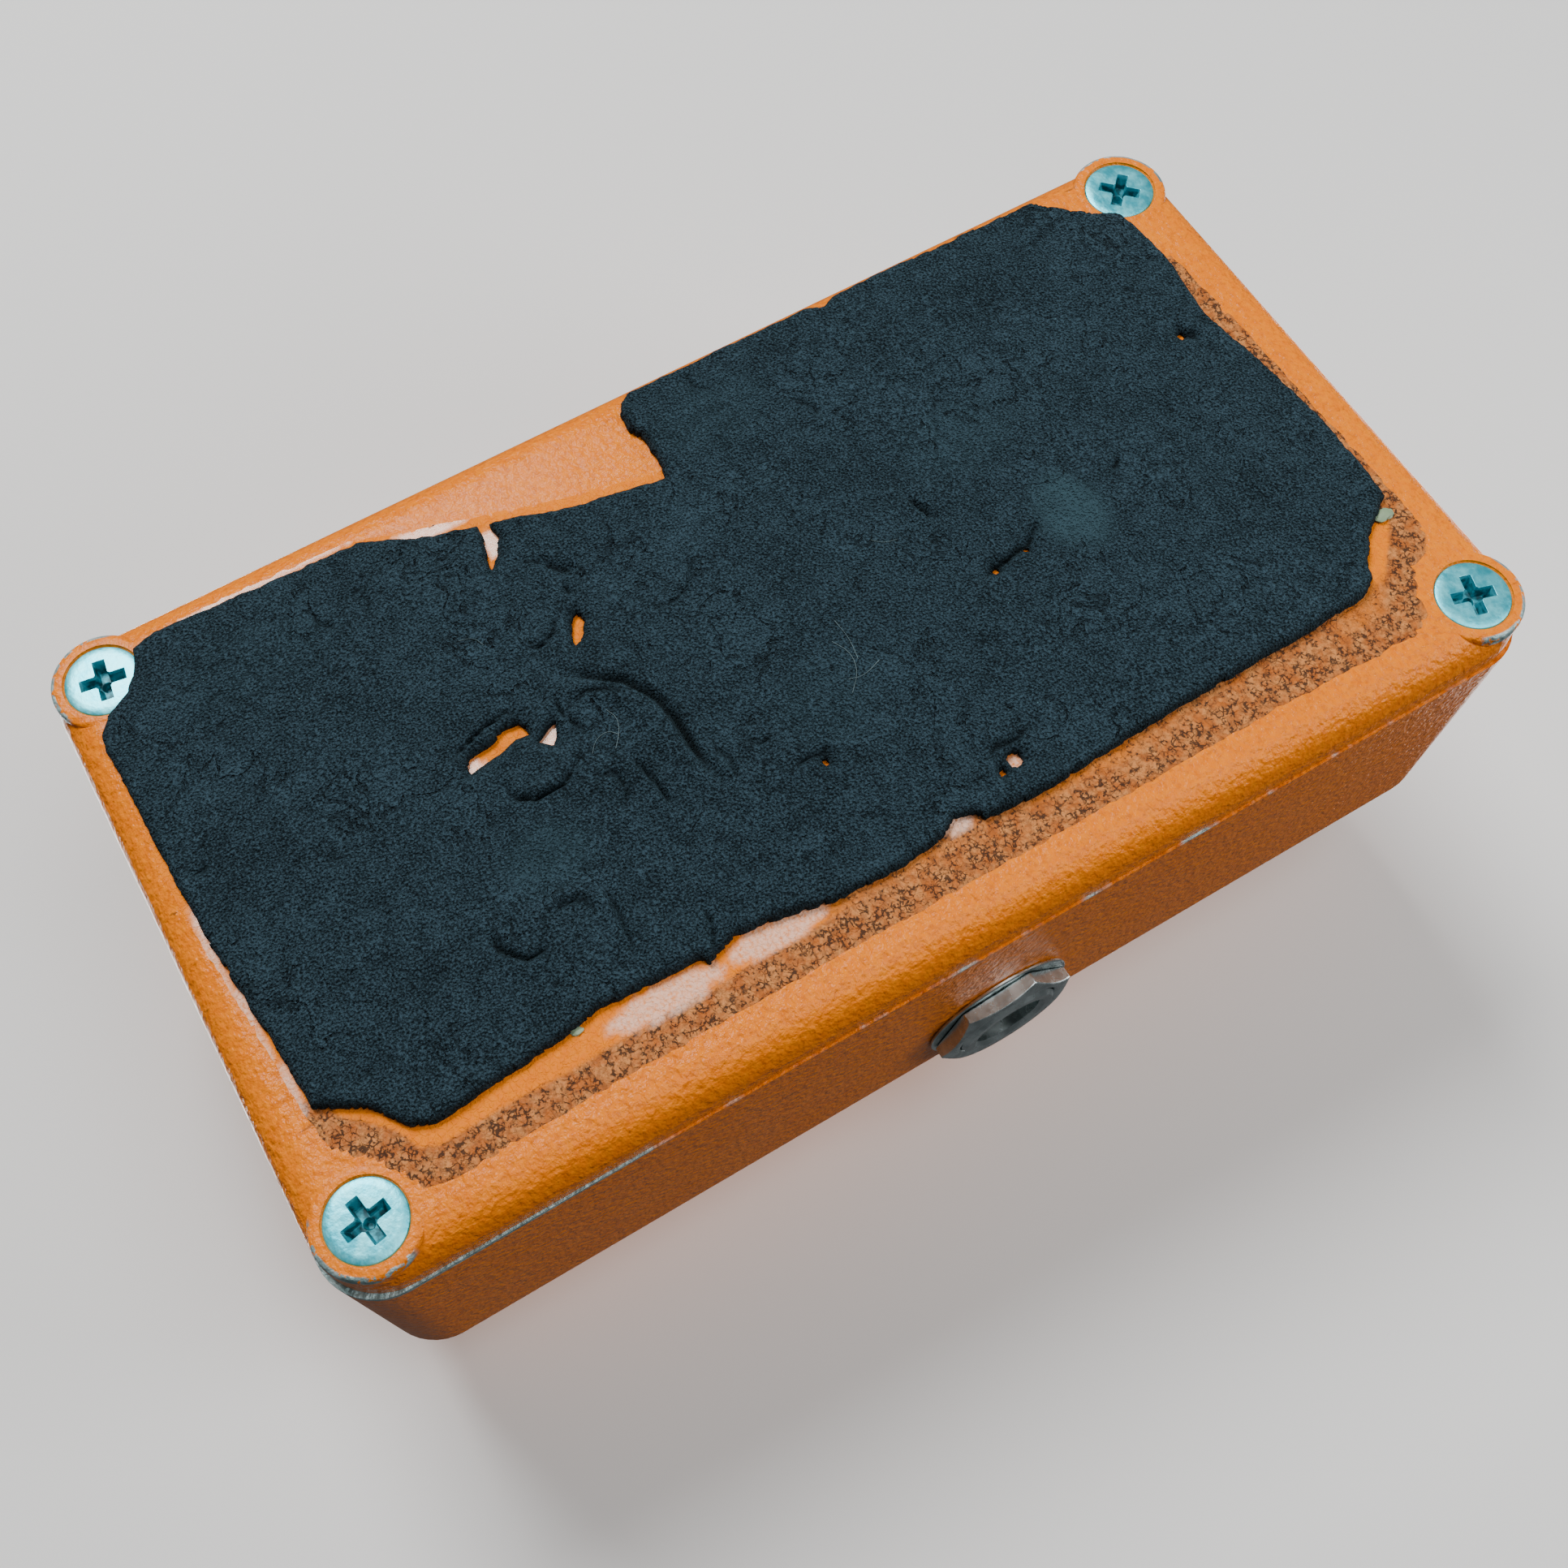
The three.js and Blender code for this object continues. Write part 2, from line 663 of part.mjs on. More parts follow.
function switchBody() {
  const [halfW, halfL] = [switchBodyWidth / 2, switchBodyLength / 2];
  const box = block(-halfW, halfW, -halfL, halfL, switchBodyBottom, switchBodyTop);
  const well = rod(stemRadius + partGap, stemBottom - plungerTravel - 1, switchBodyTop + 1);
  return cut(box, well);
}

function switchTerminals() {
  const top = switchBodyBottom - seatGap;
  const plate = block(-9, 9, -7.5, 7.5, top - 1, top);
  const lugs = [];
  for (const x of [-6, 0, 6]) {
    for (const y of [-4, 4]) {
      lugs.push(block(x - 1, x + 1, y - 0.4, y + 0.4, top - lugReach, top - 0.5));
    }
  }
  return join(plate, ...lugs);
}

class Helix extends THREE.Curve {
  constructor(radius, bottom, top, turns) {
    super();
    Object.assign(this, { radius, bottom, top, turns });
  }

  getPoint(t, target = new THREE.Vector3()) {
    const angle = 2 * Math.PI * this.turns * t;
    const z = this.bottom + (this.top - this.bottom) * t;
    return target.set(this.radius * Math.cos(angle), this.radius * Math.sin(angle), z);
  }
}

function tube(path, radius, sides, steps) {
  const shape = new THREE.Shape();
  for (let i = 0; i < sides; i += 1) {
    const angle = 2 * Math.PI * i / sides;
    const move = i === 0 ? 'moveTo' : 'lineTo';
    shape[move](radius * Math.cos(angle), radius * Math.sin(angle));
  }
  return join(new THREE.ExtrudeGeometry(shape, { steps, bevelEnabled: false, extrudePath: path }));
}

function switchSpring() {
  const radius = (stemRadius + flangeRadius) / 2;
  const bottom = switchFrameTop + springWire + fitGap;
  const top = flangeBottom - springWire - fitGap;
  return tube(new Helix(radius, bottom, top, springTurns), springWire, 5, 8 * springTurns);
}

function switchNut(z0, thickness) {
  const nut = hexagon(switchNutAcross, z0, z0 + thickness);
  return cut(nut, rod(switchBushingRadius + fitGap, z0 - 1, z0 + thickness + 1));
}

const switchGroup = new THREE.Group();
switchGroup.position.y = switchY;
pedal.add(switchGroup);
const switchWasherBottom = panelTop + seatGap;
const switchWasherTop = switchWasherBottom + switchWasherThickness;
const switchNutBottom = switchWasherTop + seatGap;
const lowerNutBottom = panelUnder - seatGap - switchLowerNutThickness;
place('switch_frame', switchFrame(), nickel, switchGroup);
place('switch_body', switchBody(), blackPlastic, switchGroup);
place('switch_terminals', switchTerminals(), brass, switchGroup);
place('switch_plunger', switchPlunger(), nickel, switchGroup);
place('switch_spring', switchSpring(), zinc, switchGroup);
place('switch_lower_nut', switchNut(lowerNutBottom, switchLowerNutThickness), nickel, switchGroup);
place('switch_washer', ring(switchBushingRadius + fitGap, switchBushingRadius + switchWasherRim,
  switchWasherBottom, switchWasherTop), nickel, switchGroup);
place('switch_nut', switchNut(switchNutBottom, switchNutThickness), nickel, switchGroup);

// ---------- Battery ----------

const batteryBack = switchY + switchBodyLength / 2 + 1;
const batteryFront = batteryBack + batteryThickness;
const batteryY = (batteryBack + batteryFront) / 2;
const batteryTop = panelUnder - slideGap;
const batteryBottom = batteryTop - batteryHeight;
const snapOut = (batteryLength + snapThickness) / 2;
const snapIn = snapOut - snapThickness;
const batteryOut = snapIn - partGap;
const batteryIn = batteryOut - batteryLength;
const terminalReach = 2.5;
const terminalOffset = 6.4;
const terminals = [[-terminalOffset, 2.9, 20], [terminalOffset, 4.1, 6]];
const batteryMiddle = (batteryBottom + batteryTop) / 2;

function terminal(offset, radius, sides, reach) {
  const stud = alongX(rod(radius, batteryOut - 0.5, batteryOut + reach, sides));
  return stud.translate(0, batteryY, batteryMiddle + offset);
}

function battery() {
  const shape = roundedShape(batteryThickness, batteryHeight, 1.5);
  const can = slab(shape, batteryIn, batteryOut).rotateX(Math.PI / 2).rotateZ(Math.PI / 2);
  const studs = terminals.map(([offset, radius, sides]) => terminal(offset, radius, sides, terminalReach));
  return join(can.translate(0, batteryY, batteryMiddle), ...studs);
}

function batterySnap() {
  const half = batteryThickness / 2 - 2;
  const cap = block(snapIn, snapOut, batteryY - half, batteryY + half, batteryBottom + 1, batteryTop - 1);
  const sockets = terminals.map(([offset, radius]) => terminal(offset, radius + partGap, 20,
    terminalReach + partGap));
  return cut(cap, ...sockets);
}

place('battery', battery(), blackPlastic);
place('battery_snap', batterySnap(), blackPlastic);
place('battery_foam', block(batteryIn + 4, batteryOut - 4, batteryBack + 1.5, batteryFront - 1.5,
  plateInside + seatGap, batteryBottom - seatGap), foam);

// ---------- Circuit board ----------

const boardBack = knobY - 14;
const boardFront = boardBack + boardLength;
const mountZ = boardBottom - seatGap; // parts hang from the board's underside

function legs(places, size, length) {
  return places.map(([x, y]) => (
    block(x - size / 2, x + size / 2, y - size / 2, y + size / 2, mountZ - length, mountZ)
  ));
}

function chip() {
  const places = [];
  for (const x of [-3.81, -1.27, 1.27, 3.81]) {
    places.push([x, -3.6], [x, 3.6]);
  }
  const body = block(-4.8, 4.8, -3.3, 3.3, mountZ - 4.2, mountZ - 0.7);
  const shoulders = [-1, 1].map((side) => block(-4.1, 4.1, side * 3.5 - 0.3, side * 3.5 + 0.3,
    mountZ - 2.6, mountZ - 2.2));
  return join(body, ...shoulders, ...legs(places, 0.5, 2.4));
}

function transistor() {
  const shape = new THREE.Shape();
  shape.absarc(0, 0, 2.3, -0.2 * Math.PI, 1.2 * Math.PI);
  const body = slab(shape, mountZ - 6.5, mountZ - 1.8);
  return join(body, ...legs([[-1.27, 0], [0, 0], [1.27, 0]], 0.45, 2.2));
}

function trimmerBase() {
  const box = block(-3.4, 3.4, -3.4, 3.4, mountZ - 4.5, mountZ - 0.4);
  const well = rod(2.2 + slideGap, mountZ - 5, mountZ - 3.2, 20);
  return join(cut(box, well), ...legs([[-2.5, 2.5], [2.5, 2.5], [0, -2.5]], 0.5, 1));
}

function trimmerRotor() {
  const rotor = rod(2.2, mountZ - 4.9, mountZ - 3.2 - fitGap, 20);
  return cut(rotor, block(-1.6, 1.6, -0.3, 0.3, mountZ - 5.2, mountZ - 4.3));
}

function electrolytic() {
  return join(rod(3.2, mountZ - 9, mountZ - 0.3, 20), ...legs([[-1.2, 0], [1.2, 0]], 0.5, 1));
}

function filmCapacitor() {
  const body = block(-3.6, 3.6, -1.5, 1.5, mountZ - 7.5, mountZ - 0.5);
  return join(body, ...legs([[-2.5, 0], [2.5, 0]], 0.5, 1));
}

place('circuit_board', block(-boardWidth / 2, boardWidth / 2, boardBack, boardFront, boardBottom, boardTop),
  boardGreen);
[-15, 0, 15].forEach((x, i) => {
  place(`chip_${i + 1}`, chip(), blackPlastic).position.set(x, boardBack + 22, 0);
});
[-15, -5, 5, 15].forEach((x, i) => {
  place(`transistor_${i + 1}`, transistor(), blackPlastic).position.set(x, boardBack + 12, 0);
});
[-7, 3].forEach((x, i) => {
  place(`film_capacitor_${i + 1}`, filmCapacitor(), filmYellow).position.set(x, boardBack + 5, 0);
});
place('electrolytic_capacitor', electrolytic(), blackPlastic).position.set(-17, boardBack + 5, 0);
place('trimmer_base', trimmerBase(), trimmerBlue).position.set(14, boardBack + 5, 0);
place('trimmer_rotor', trimmerRotor(), blackPlastic).position.set(14, boardBack + 5, 0);

// ---------- Wiring ----------

// Wires pass the battery in the channels between its ends and the walls.
const outputChannel = -(cavityHalfWidth - batteryIn) / 2;
const inputChannel = (cavityHalfWidth + snapOut) / 2;
const jackInside = boxWidth / 2 + (insulatorIn + insulatorOut) / 2;
const stackHalf = leafWidth + 2 * partGap;
const stackZ = jackZ + (legTop + insulatorTop) / 2;
const padsZ = boardBottom - wireRadius / 2;
const lugX = 7 + partGap + 0.1;
const lugZ = switchBodyBottom - 3.3;

const wires = [
  ['battery_lead_red', redWire, [
    [snapOut - 2.5, batteryFront - 2 + partGap, 10],
    [snapOut - 2.5, batteryFront + 4, 8],
    [boardWidth / 2 - 1, jackOffset + 3, 8],
    [boardWidth / 2 - 1.5, boardBack - 2, 9],
    [boardWidth / 2 - 2, boardBack + 2, 11.5],
    [boardWidth / 2 - 2, boardBack + 2.5, padsZ],
  ]],
  ['battery_lead_black', blackPlastic, [
    [snapOut - 2.5, batteryFront - 2 + partGap, 18],
    [snapOut - 4, batteryFront + 0.9, 18.3],
    [jackInside + 1, batteryFront + 1.8, stackZ],
    [jackInside, jackOffset - stackHalf - partGap, stackZ],
  ]],
  ['output_wire', whiteWire, [
    [-jackInside, jackOffset - stackHalf - partGap, stackZ],
    [-jackInside - 3, jackOffset - stackHalf - 3.4, stackZ + 1],
    [outputChannel + 0.9, batteryFront + 1, stackZ + 2],
    [outputChannel, batteryFront - 2, stackZ + 2],
    [outputChannel, batteryBack + 2, stackZ + 1],
    [outputChannel + 0.7, batteryBack - 0.8, stackZ],
    [outputChannel + 4, batteryBack - 3, lugZ + 7],
    [-lugX - 5, switchY + 4.5, lugZ + 0.5],
    [-lugX, switchY + 4, lugZ],
  ]],
  ['effect_wire', whiteWire, [
    [-boardWidth / 2 + 2, boardBack + 2.5, padsZ],
    [-boardWidth / 2 + 1.6, boardBack + 1, 11],
    [-boardWidth / 2 + 1, boardBack - 3, 9.5],
    [-boardWidth / 2, jackOffset, 11],
    [outputChannel + 0.6, batteryFront + 1.5, 14],
    [outputChannel, batteryFront - 2, 14],
    [outputChannel, batteryBack + 2, 13],
    [outputChannel + 0.7, batteryBack - 1, 12.5],
    [outputChannel + 4, batteryBack - 4, 11],
    [-lugX - 6, switchY - 4.5, lugZ + 0.5],
    [-lugX, switchY - 4, lugZ],
  ]],
  ['input_wire', whiteWire, [
    [jackInside, jackOffset + stackHalf + partGap, stackZ],
    [jackInside + 0.3, jackOffset + stackHalf + 2.8, stackZ - 0.6],
    [jackInside + 2.5, jackOffset + stackHalf + 2.6, 14],
    [inputChannel - 2, jackOffset, 12],
    [inputChannel - 0.5, batteryFront + 2, 12],
    [inputChannel, batteryFront - 2, 12],
    [inputChannel, batteryBack + 2, 12],
    [inputChannel - 0.7, batteryBack - 1, 11.5],
    [inputChannel - 5, batteryBack - 4, 10],
    [lugX + 5, switchY + 4.5, lugZ + 0.5],
    [lugX, switchY + 4, lugZ],
  ]],
];

for (const [name, material, points] of wires) {
  const path = new THREE.CatmullRomCurve3(points.map((point) => new THREE.Vector3(...point)));
  place(name, tube(path, wireRadius, 6, 3 * points.length), material);
}

export default pedal;
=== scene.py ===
# A small orange effects pedal: worn foam pad, painted die-cast box, screws, jacks, knob and footswitch.
import math

import bmesh
import bpy
import numpy as np
from mathutils import Matrix, Quaternion, Vector, noise


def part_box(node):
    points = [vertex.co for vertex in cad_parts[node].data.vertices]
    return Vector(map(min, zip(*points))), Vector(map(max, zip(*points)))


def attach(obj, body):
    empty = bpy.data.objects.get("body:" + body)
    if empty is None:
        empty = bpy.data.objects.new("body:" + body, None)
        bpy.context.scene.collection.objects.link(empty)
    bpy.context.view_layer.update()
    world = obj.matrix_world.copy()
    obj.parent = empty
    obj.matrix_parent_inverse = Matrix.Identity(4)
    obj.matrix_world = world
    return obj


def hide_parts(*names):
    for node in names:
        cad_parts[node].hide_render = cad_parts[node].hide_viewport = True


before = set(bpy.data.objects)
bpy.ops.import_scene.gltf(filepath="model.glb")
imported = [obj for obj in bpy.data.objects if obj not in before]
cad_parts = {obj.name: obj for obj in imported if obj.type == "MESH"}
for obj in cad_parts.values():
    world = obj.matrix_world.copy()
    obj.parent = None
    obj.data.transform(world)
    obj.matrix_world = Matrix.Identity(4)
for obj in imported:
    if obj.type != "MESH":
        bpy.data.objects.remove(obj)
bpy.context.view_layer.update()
mm = 0.001
print("frame loaded")


# Places, all in millimetres and taken from the frame

def spanOf(node):
    low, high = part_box(node)
    return low / mm, high / mm


def middleOf(node):
    low, high = spanOf(node)
    return (low + high) / 2


plateLow, plateHigh = spanOf("base_plate")
bodyLow, bodyHigh = spanOf("enclosure_body")
plateFace = plateLow.z
screwHeadRadius = (spanOf("base_screw_1")[1].x - spanOf("base_screw_1")[0].x) / 2
screwPlaces = [middleOf(f"base_screw_{i}") for i in (1, 2, 3, 4)]
screwX = abs(screwPlaces[0].x)
screwY = abs(screwPlaces[0].y)
jackPlace = middleOf("input_jack_nut")
knobPlace = middleOf("pot_shaft")
switchPlace = middleOf("switch_plunger")


# Materials

class Value:
    # A socket of a material, so that sums are written as plain expressions.
    def __init__(self, shader, socket):
        self.shader = shader
        self.socket = socket

    def math(self, operation, *terms):
        return self.shader.node("ShaderNodeMath", {"operation": operation}, dict(enumerate(terms)))

    def __add__(self, other):
        return self.math("ADD", self, other)

    def __radd__(self, other):
        return self.math("ADD", other, self)

    def __sub__(self, other):
        return self.math("SUBTRACT", self, other)

    def __rsub__(self, other):
        return self.math("SUBTRACT", other, self)

    def __mul__(self, other):
        return self.math("MULTIPLY", self, other)

    def __rmul__(self, other):
        return self.math("MULTIPLY", other, self)

    def __abs__(self):
        return self.math("ABSOLUTE", self)

    def __pow__(self, other):
        return self.math("POWER", self, other)


class Shader:
    def __init__(self, name, fixed):
        self.material = bpy.data.materials.new(name)
        self.material.use_nodes = True
        self.tree = self.material.node_tree
        self.surface = self.tree.nodes["Principled BSDF"]
        for socket, value in fixed.items():
            self.surface.inputs[socket].default_value = value

    def node(self, kind, settings=None, inputs=None, output=0):
        made = self.tree.nodes.new(kind)
        for name, value in (settings or {}).items():
            setattr(made, name, value)
        for name, value in (inputs or {}).items():
            if isinstance(value, Value):
                self.tree.links.new(value.socket, made.inputs[name])
            else:
                made.inputs[name].default_value = value
        return Value(self, made.outputs[output])

    def feed(self, **links):
        for name, value in links.items():
            self.tree.links.new(value.socket, self.surface.inputs[name.replace("_", " ")])

    def place(self):
        return self.node("ShaderNodeTexCoord", output="Object")

    def parts(self, at):
        # x, y and z in millimetres
        split = self.node("ShaderNodeSeparateXYZ", inputs={"Vector": at}).socket.node
        return [Value(self, split.outputs[i]) * (1 / mm) for i in range(3)]

    def stretched(self, at, x, y, z):
        return self.node("ShaderNodeMapping", inputs={"Vector": at, "Scale": (x, y, z)})

    def cloud(self, at, size, detail=2.0, roughness=0.5, distortion=0.0):
        # noise from 0 to 1, with lumps about size millimetres across
        return self.node("ShaderNodeTexNoise", inputs={
            "Vector": at, "Scale": 1 / (size * mm), "Detail": detail, "Roughness": roughness,
            "Distortion": distortion}, output="Fac")

    def cells(self, at, size, feature="F1"):
        return self.node("ShaderNodeTexVoronoi", {"feature": feature}, {
            "Vector": at, "Scale": 1 / (size * mm)}, output="Distance")

    def rise(self, value, low, high, start=0.0, end=1.0):
        # a smooth step from start to end as value goes from low to high
        return self.node("ShaderNodeMapRange", {"interpolation_type": "SMOOTHSTEP"}, {
            "Value": value, "From Min": low, "From Max": high, "To Min": start, "To Max": end})

    def mix(self, factor, first, second):
        first, second = [c if isinstance(c, Value) else (*c, 1) for c in (first, second)]
        return self.node("ShaderNodeMix", {"data_type": "RGBA"}, {0: factor, 6: first, 7: second}, output=2)

    def attribute(self, name):
        return self.node("ShaderNodeAttribute", {"attribute_name": name}, output="Fac")

    def bump(self, height, depth, under=None):
        inputs = {"Height": height, "Distance": depth * mm, "Strength": 1.0}
        if under is not None:
            inputs["Normal"] = under
        return self.node("ShaderNodeBump", inputs=inputs)


def paintColour(shader, at):
    patches = shader.cloud(at, 14, 3)
    colour = shader.mix(patches, (0.78, 0.195, 0.0), (0.86, 0.235, 0.0))
    grain = shader.rise(shader.cloud(at, 0.7, 3), 0.25, 0.75)
    return shader.mix(grain * 0.4, colour, (0.66, 0.11, 0.0))


def paintRelief(shader, at):
    peel = shader.cloud(at, 0.68, 2, 0.45)
    fine = shader.cloud(at, 0.3, 2)
    return shader.bump(fine, 0.1, shader.bump(peel, 0.24))


def paint(name, worn, pitting):
    # worn(shader, at, x, y, z) says where the metal shows, from 0 to 1
    shader = Shader(name, {"IOR": 1.45, "Specular IOR Level": 0.2, "Coat Roughness": 0.15, "Coat IOR": 1.35})
    at = shader.place()
    x, y, z = shader.parts(at)
    bare = worn(shader, at, x, y, z)
    marks = shader.rise(shader.cloud(shader.stretched(at, 1, 0.2, 1), 1.5, 3, 0.6), 0.68, 0.74)
    pits = shader.rise(shader.cloud(at, 0.42, 3, 0.6), 0.34, 0.52, pitting, 0.0)
    pitted = shader.mix(pits, paintColour(shader, at), (0.34, 0.055, 0.0))
    marked = shader.mix(marks * 0.8, pitted, (0.09, 0.035, 0.012))
    dulled = shader.rise(shader.cloud(at, 1.5, 3), 0.3, 0.7)
    metal = shader.mix(dulled, (0.20, 0.30, 0.30), (0.42, 0.54, 0.54))
    shader.feed(
        Base_Color=shader.mix(bare, marked, metal),
        Roughness=shader.cloud(at, 6, 3) * 0.2 + 0.2 + bare * 0.2,
        Metallic=bare * 0.5,
        Coat_Weight=0.1 - bare * 0.1,
        Normal=paintRelief(shader, at),
    )
    return shader.material


def wornLedge(shader, at, x, y, z):
    # bare metal along the body's lower edge, widest at one corner
    patchy = shader.cloud(at, 3, 4, 0.6)
    fromCorner = ((x + 30) ** 2 + (y + 54) ** 2) ** 0.5
    near = 1 - shader.rise(fromCorner, 5, 30)
    rubbed = shader.rise(shader.cloud(at, 6, 3, 0.6) + near * 0.6, 0.50, 0.64)
    return (1 - shader.rise(z - bodyLow.z - patchy * 0.26 - near * 0.42, -0.14, 0.02)) * rubbed


def wornRims(shader, at, x, y, z):
    outX = abs(x) - screwX
    outY = abs(y) - screwY
    radius = (outX * outX + outY * outY) ** 0.5
    patchy = shader.cloud(at, 1.4, 4, 0.6)
    ring = shader.rise(radius, 3.85, 4.15) * (1 - shader.rise(z, plateFace + 0.7, plateFace + 1.2))
    outward = shader.rise(outX + outY, 0.5, 3.5)
    return shader.rise(ring * outward * shader.rise(patchy, 0.42, 0.5), 0.1, 0.6)


def zincCoat():
    shader = Shader("zincPlating", {})
    at = shader.place()
    x, y, z = shader.parts(at)
    patches = shader.cloud(at, 1.1, 4, 0.6)
    colour = shader.mix(shader.rise(patches, 0.3, 0.7), (0.04, 0.48, 0.60), (0.17, 0.72, 0.82))
    # Painted shade: deeper in the cross recess the colour turns darker teal, with near-black patches that are
    # partly dirt and partly painted shade.
    sunk = shader.rise(z, plateFace + 0.12, plateFace + 0.5)
    recessDirtAndShade = shader.rise(shader.cloud(at, 0.7, 3) + sunk * 0.2, 0.58, 0.82)
    shader.feed(
        Base_Color=shader.mix(recessDirtAndShade * sunk, shader.mix(sunk, colour, (0.03, 0.34, 0.42)), (0.01, 0.08, 0.10)),
        Metallic=0.75 - sunk * 0.45,
        Roughness=patches * 0.25 + 0.28 + sunk * 0.1,
        Normal=shader.bump(shader.cloud(at, 0.3, 3), 0.02, shader.bump(shader.cloud(at, 1.3, 2), 0.05)),
    )
    return shader.material


def foamRubber():
    shader = Shader("foamRubber", {"Roughness": 0.95, "Specular IOR Level": 0.12, "Sheen Weight": 0.05,
                                   "Sheen Roughness": 0.6, "Sheen Tint": (0.35, 0.75, 0.9, 1)})
    at = shader.place()
    large = shader.cloud(at, 9, 3)
    middle = shader.cloud(at, 1.6, 3, 0.6)
    pores = shader.cloud(at, 0.19, 3, 0.6)
    tone = shader.rise(large * 0.14 + middle * 0.14 + pores * 0.72, 0.38, 0.64)
    colour = shader.mix(tone, (0.0010, 0.0026, 0.0040), (0.0320, 0.0600, 0.0800))
    colour = shader.mix(shader.attribute("pale"), colour, (0.029, 0.061, 0.076))
    bend = shader.cloud(at, 4.5, 4, 0.55, 0.6)
    folded = shader.rise(shader.cloud(at, 9, 2), 0.47, 0.60)
    wrinkle = shader.rise(abs(bend - 0.5), 0.0, 0.018, 1.0, 0.0) * folded
    # Painted shade: the colour is darkened in the wrinkles and made near black where the hollow attribute
    # marks the creases and the torn edge.
    sunken = shader.attribute("hollow")
    colour = shader.mix(wrinkle * 0.65, colour, (0.0012, 0.0022, 0.0030))
    colour = shader.mix(sunken, colour, (0.0003, 0.0005, 0.0007))
    dust = 1 - shader.rise(shader.cells(at, 1.5), 0.02, 0.045)
    dusty = shader.rise(shader.cloud(at, 7, 2), 0.52, 0.62)
    colour = shader.mix(dust * dusty * 0.5, colour, (0.12, 0.26, 0.28))
    pits = shader.rise(shader.cells(at, 0.25), 0.15, 0.6)
    lumpy = shader.bump(middle - wrinkle * 0.5, 0.32)
    shader.feed(Base_Color=colour, Normal=shader.bump(pits + pores, 0.2, lumpy))
    return shader.material


def oldGlue():
    shader = Shader("oldGlue", {"IOR": 1.45, "Specular IOR Level": 0.1, "Coat Roughness": 0.12})
    at = shader.place()
    grime = shader.attribute("grime")
    gloss = shader.attribute("gloss")
    mottle = shader.cloud(at, 1.4, 4, 0.65)
    fine = shader.cloud(at, 0.3, 4, 0.65)
    glaze = shader.mix(shader.rise(mottle, 0.35, 0.65), (0.42, 0.11, 0.018), (0.56, 0.22, 0.065))
    browned = shader.rise(shader.cloud(at, 0.5, 4, 0.7), 0.42, 0.62) * 0.6
    glaze = shader.mix(browned, glaze, (0.20, 0.065, 0.02))
    glaze = shader.mix(shader.rise(grime, 0.15, 0.6), paintColour(shader, at), glaze)
    wander = shader.node("ShaderNodeTexNoise", inputs={
        "Vector": at, "Scale": 1400.0, "Detail": 3.0}, output="Color")
    reach = (0.8 * mm, 0.8 * mm, 0.8 * mm)
    shifted = shader.node("ShaderNodeVectorMath", {"operation": "MULTIPLY_ADD"}, {0: wander, 1: reach, 2: at})
    cracks = 1 - shader.rise(shader.cells(shifted, 0.55, "DISTANCE_TO_EDGE"), 0.02, 0.17)
    specks = shader.rise(fine, 0.50, 0.60)
    clumps = shader.rise(shader.cloud(at, 0.8, 3, 0.6), 0.36, 0.60)
    black = shader.rise((cracks * 0.7 + specks * 0.8) * grime * clumps, 0.05, 0.62)
    colour = shader.mix(black * 0.9, glaze, (0.030, 0.018, 0.013))
    # Glossy patches are whitened towards a pale pink: partly milky dried glue, partly a painted highlight.
    milkyGlueAndHighlight = gloss * shader.rise(fine, 0.2, 0.6)
    colour = shader.mix(milkyGlueAndHighlight * 0.8, colour, (0.88, 0.56, 0.42))
    shader.feed(
        Base_Color=colour,
        Roughness=0.4 - gloss * 0.15 + black * 0.3,
        Coat_Weight=gloss * 0.5,
        Normal=shader.bump(fine + cracks * -0.5, 0.07, shader.bump(mottle, 0.12)),
    )
    return shader.material


def metal(name, dark, light, roughness=0.28, brushed=(1, 1, 1)):
    shader = Shader(name, {"Metallic": 1.0})
    at = shader.stretched(shader.place(), *brushed)
    tarnish = shader.cloud(at, 2.2, 4, 0.6)
    shader.feed(
        Base_Color=shader.mix(shader.rise(tarnish, 0.3, 0.7), dark, light),
        Roughness=tarnish * 0.2 + (roughness - 0.1),
        Normal=shader.bump(shader.cloud(at, 0.35, 3), 0.008),
    )
    return shader.material


def plastic(name, dark, light, roughness=0.45, grain=0.5, depth=0.02):
    shader = Shader(name, {"IOR": 1.47})
    at = shader.place()
    handled = shader.cloud(at, 5, 4, 0.6)
    shader.feed(
        Base_Color=shader.mix(shader.rise(handled, 0.3, 0.7), dark, light),
        Roughness=handled * 0.25 + (roughness - 0.12),
        Normal=shader.bump(shader.cloud(at, grain, 2), depth),
    )
    return shader.material


def knobPlastic():
    shader = Shader("knobPlastic", {"IOR": 1.48})
    at = shader.place()
    x, y, z = shader.parts(at)
    handled = shader.cloud(at, 4, 4, 0.6)
    black = shader.mix(handled, (0.010, 0.010, 0.011), (0.032, 0.031, 0.030))
    line = (1 - shader.rise(abs(x), 0.42, 0.5)) * shader.rise(y - knobPlace.y, 2.9, 3.0)
    chipped = shader.rise(shader.cloud(at, 0.5, 3), 0.28, 0.34)
    shader.feed(
        Base_Color=shader.mix(line * chipped, black, (0.72, 0.70, 0.64)),
        Roughness=handled * 0.3 + 0.25,
        Normal=shader.bump(shader.cloud(at, 0.25, 2), 0.012),
    )
    return shader.material


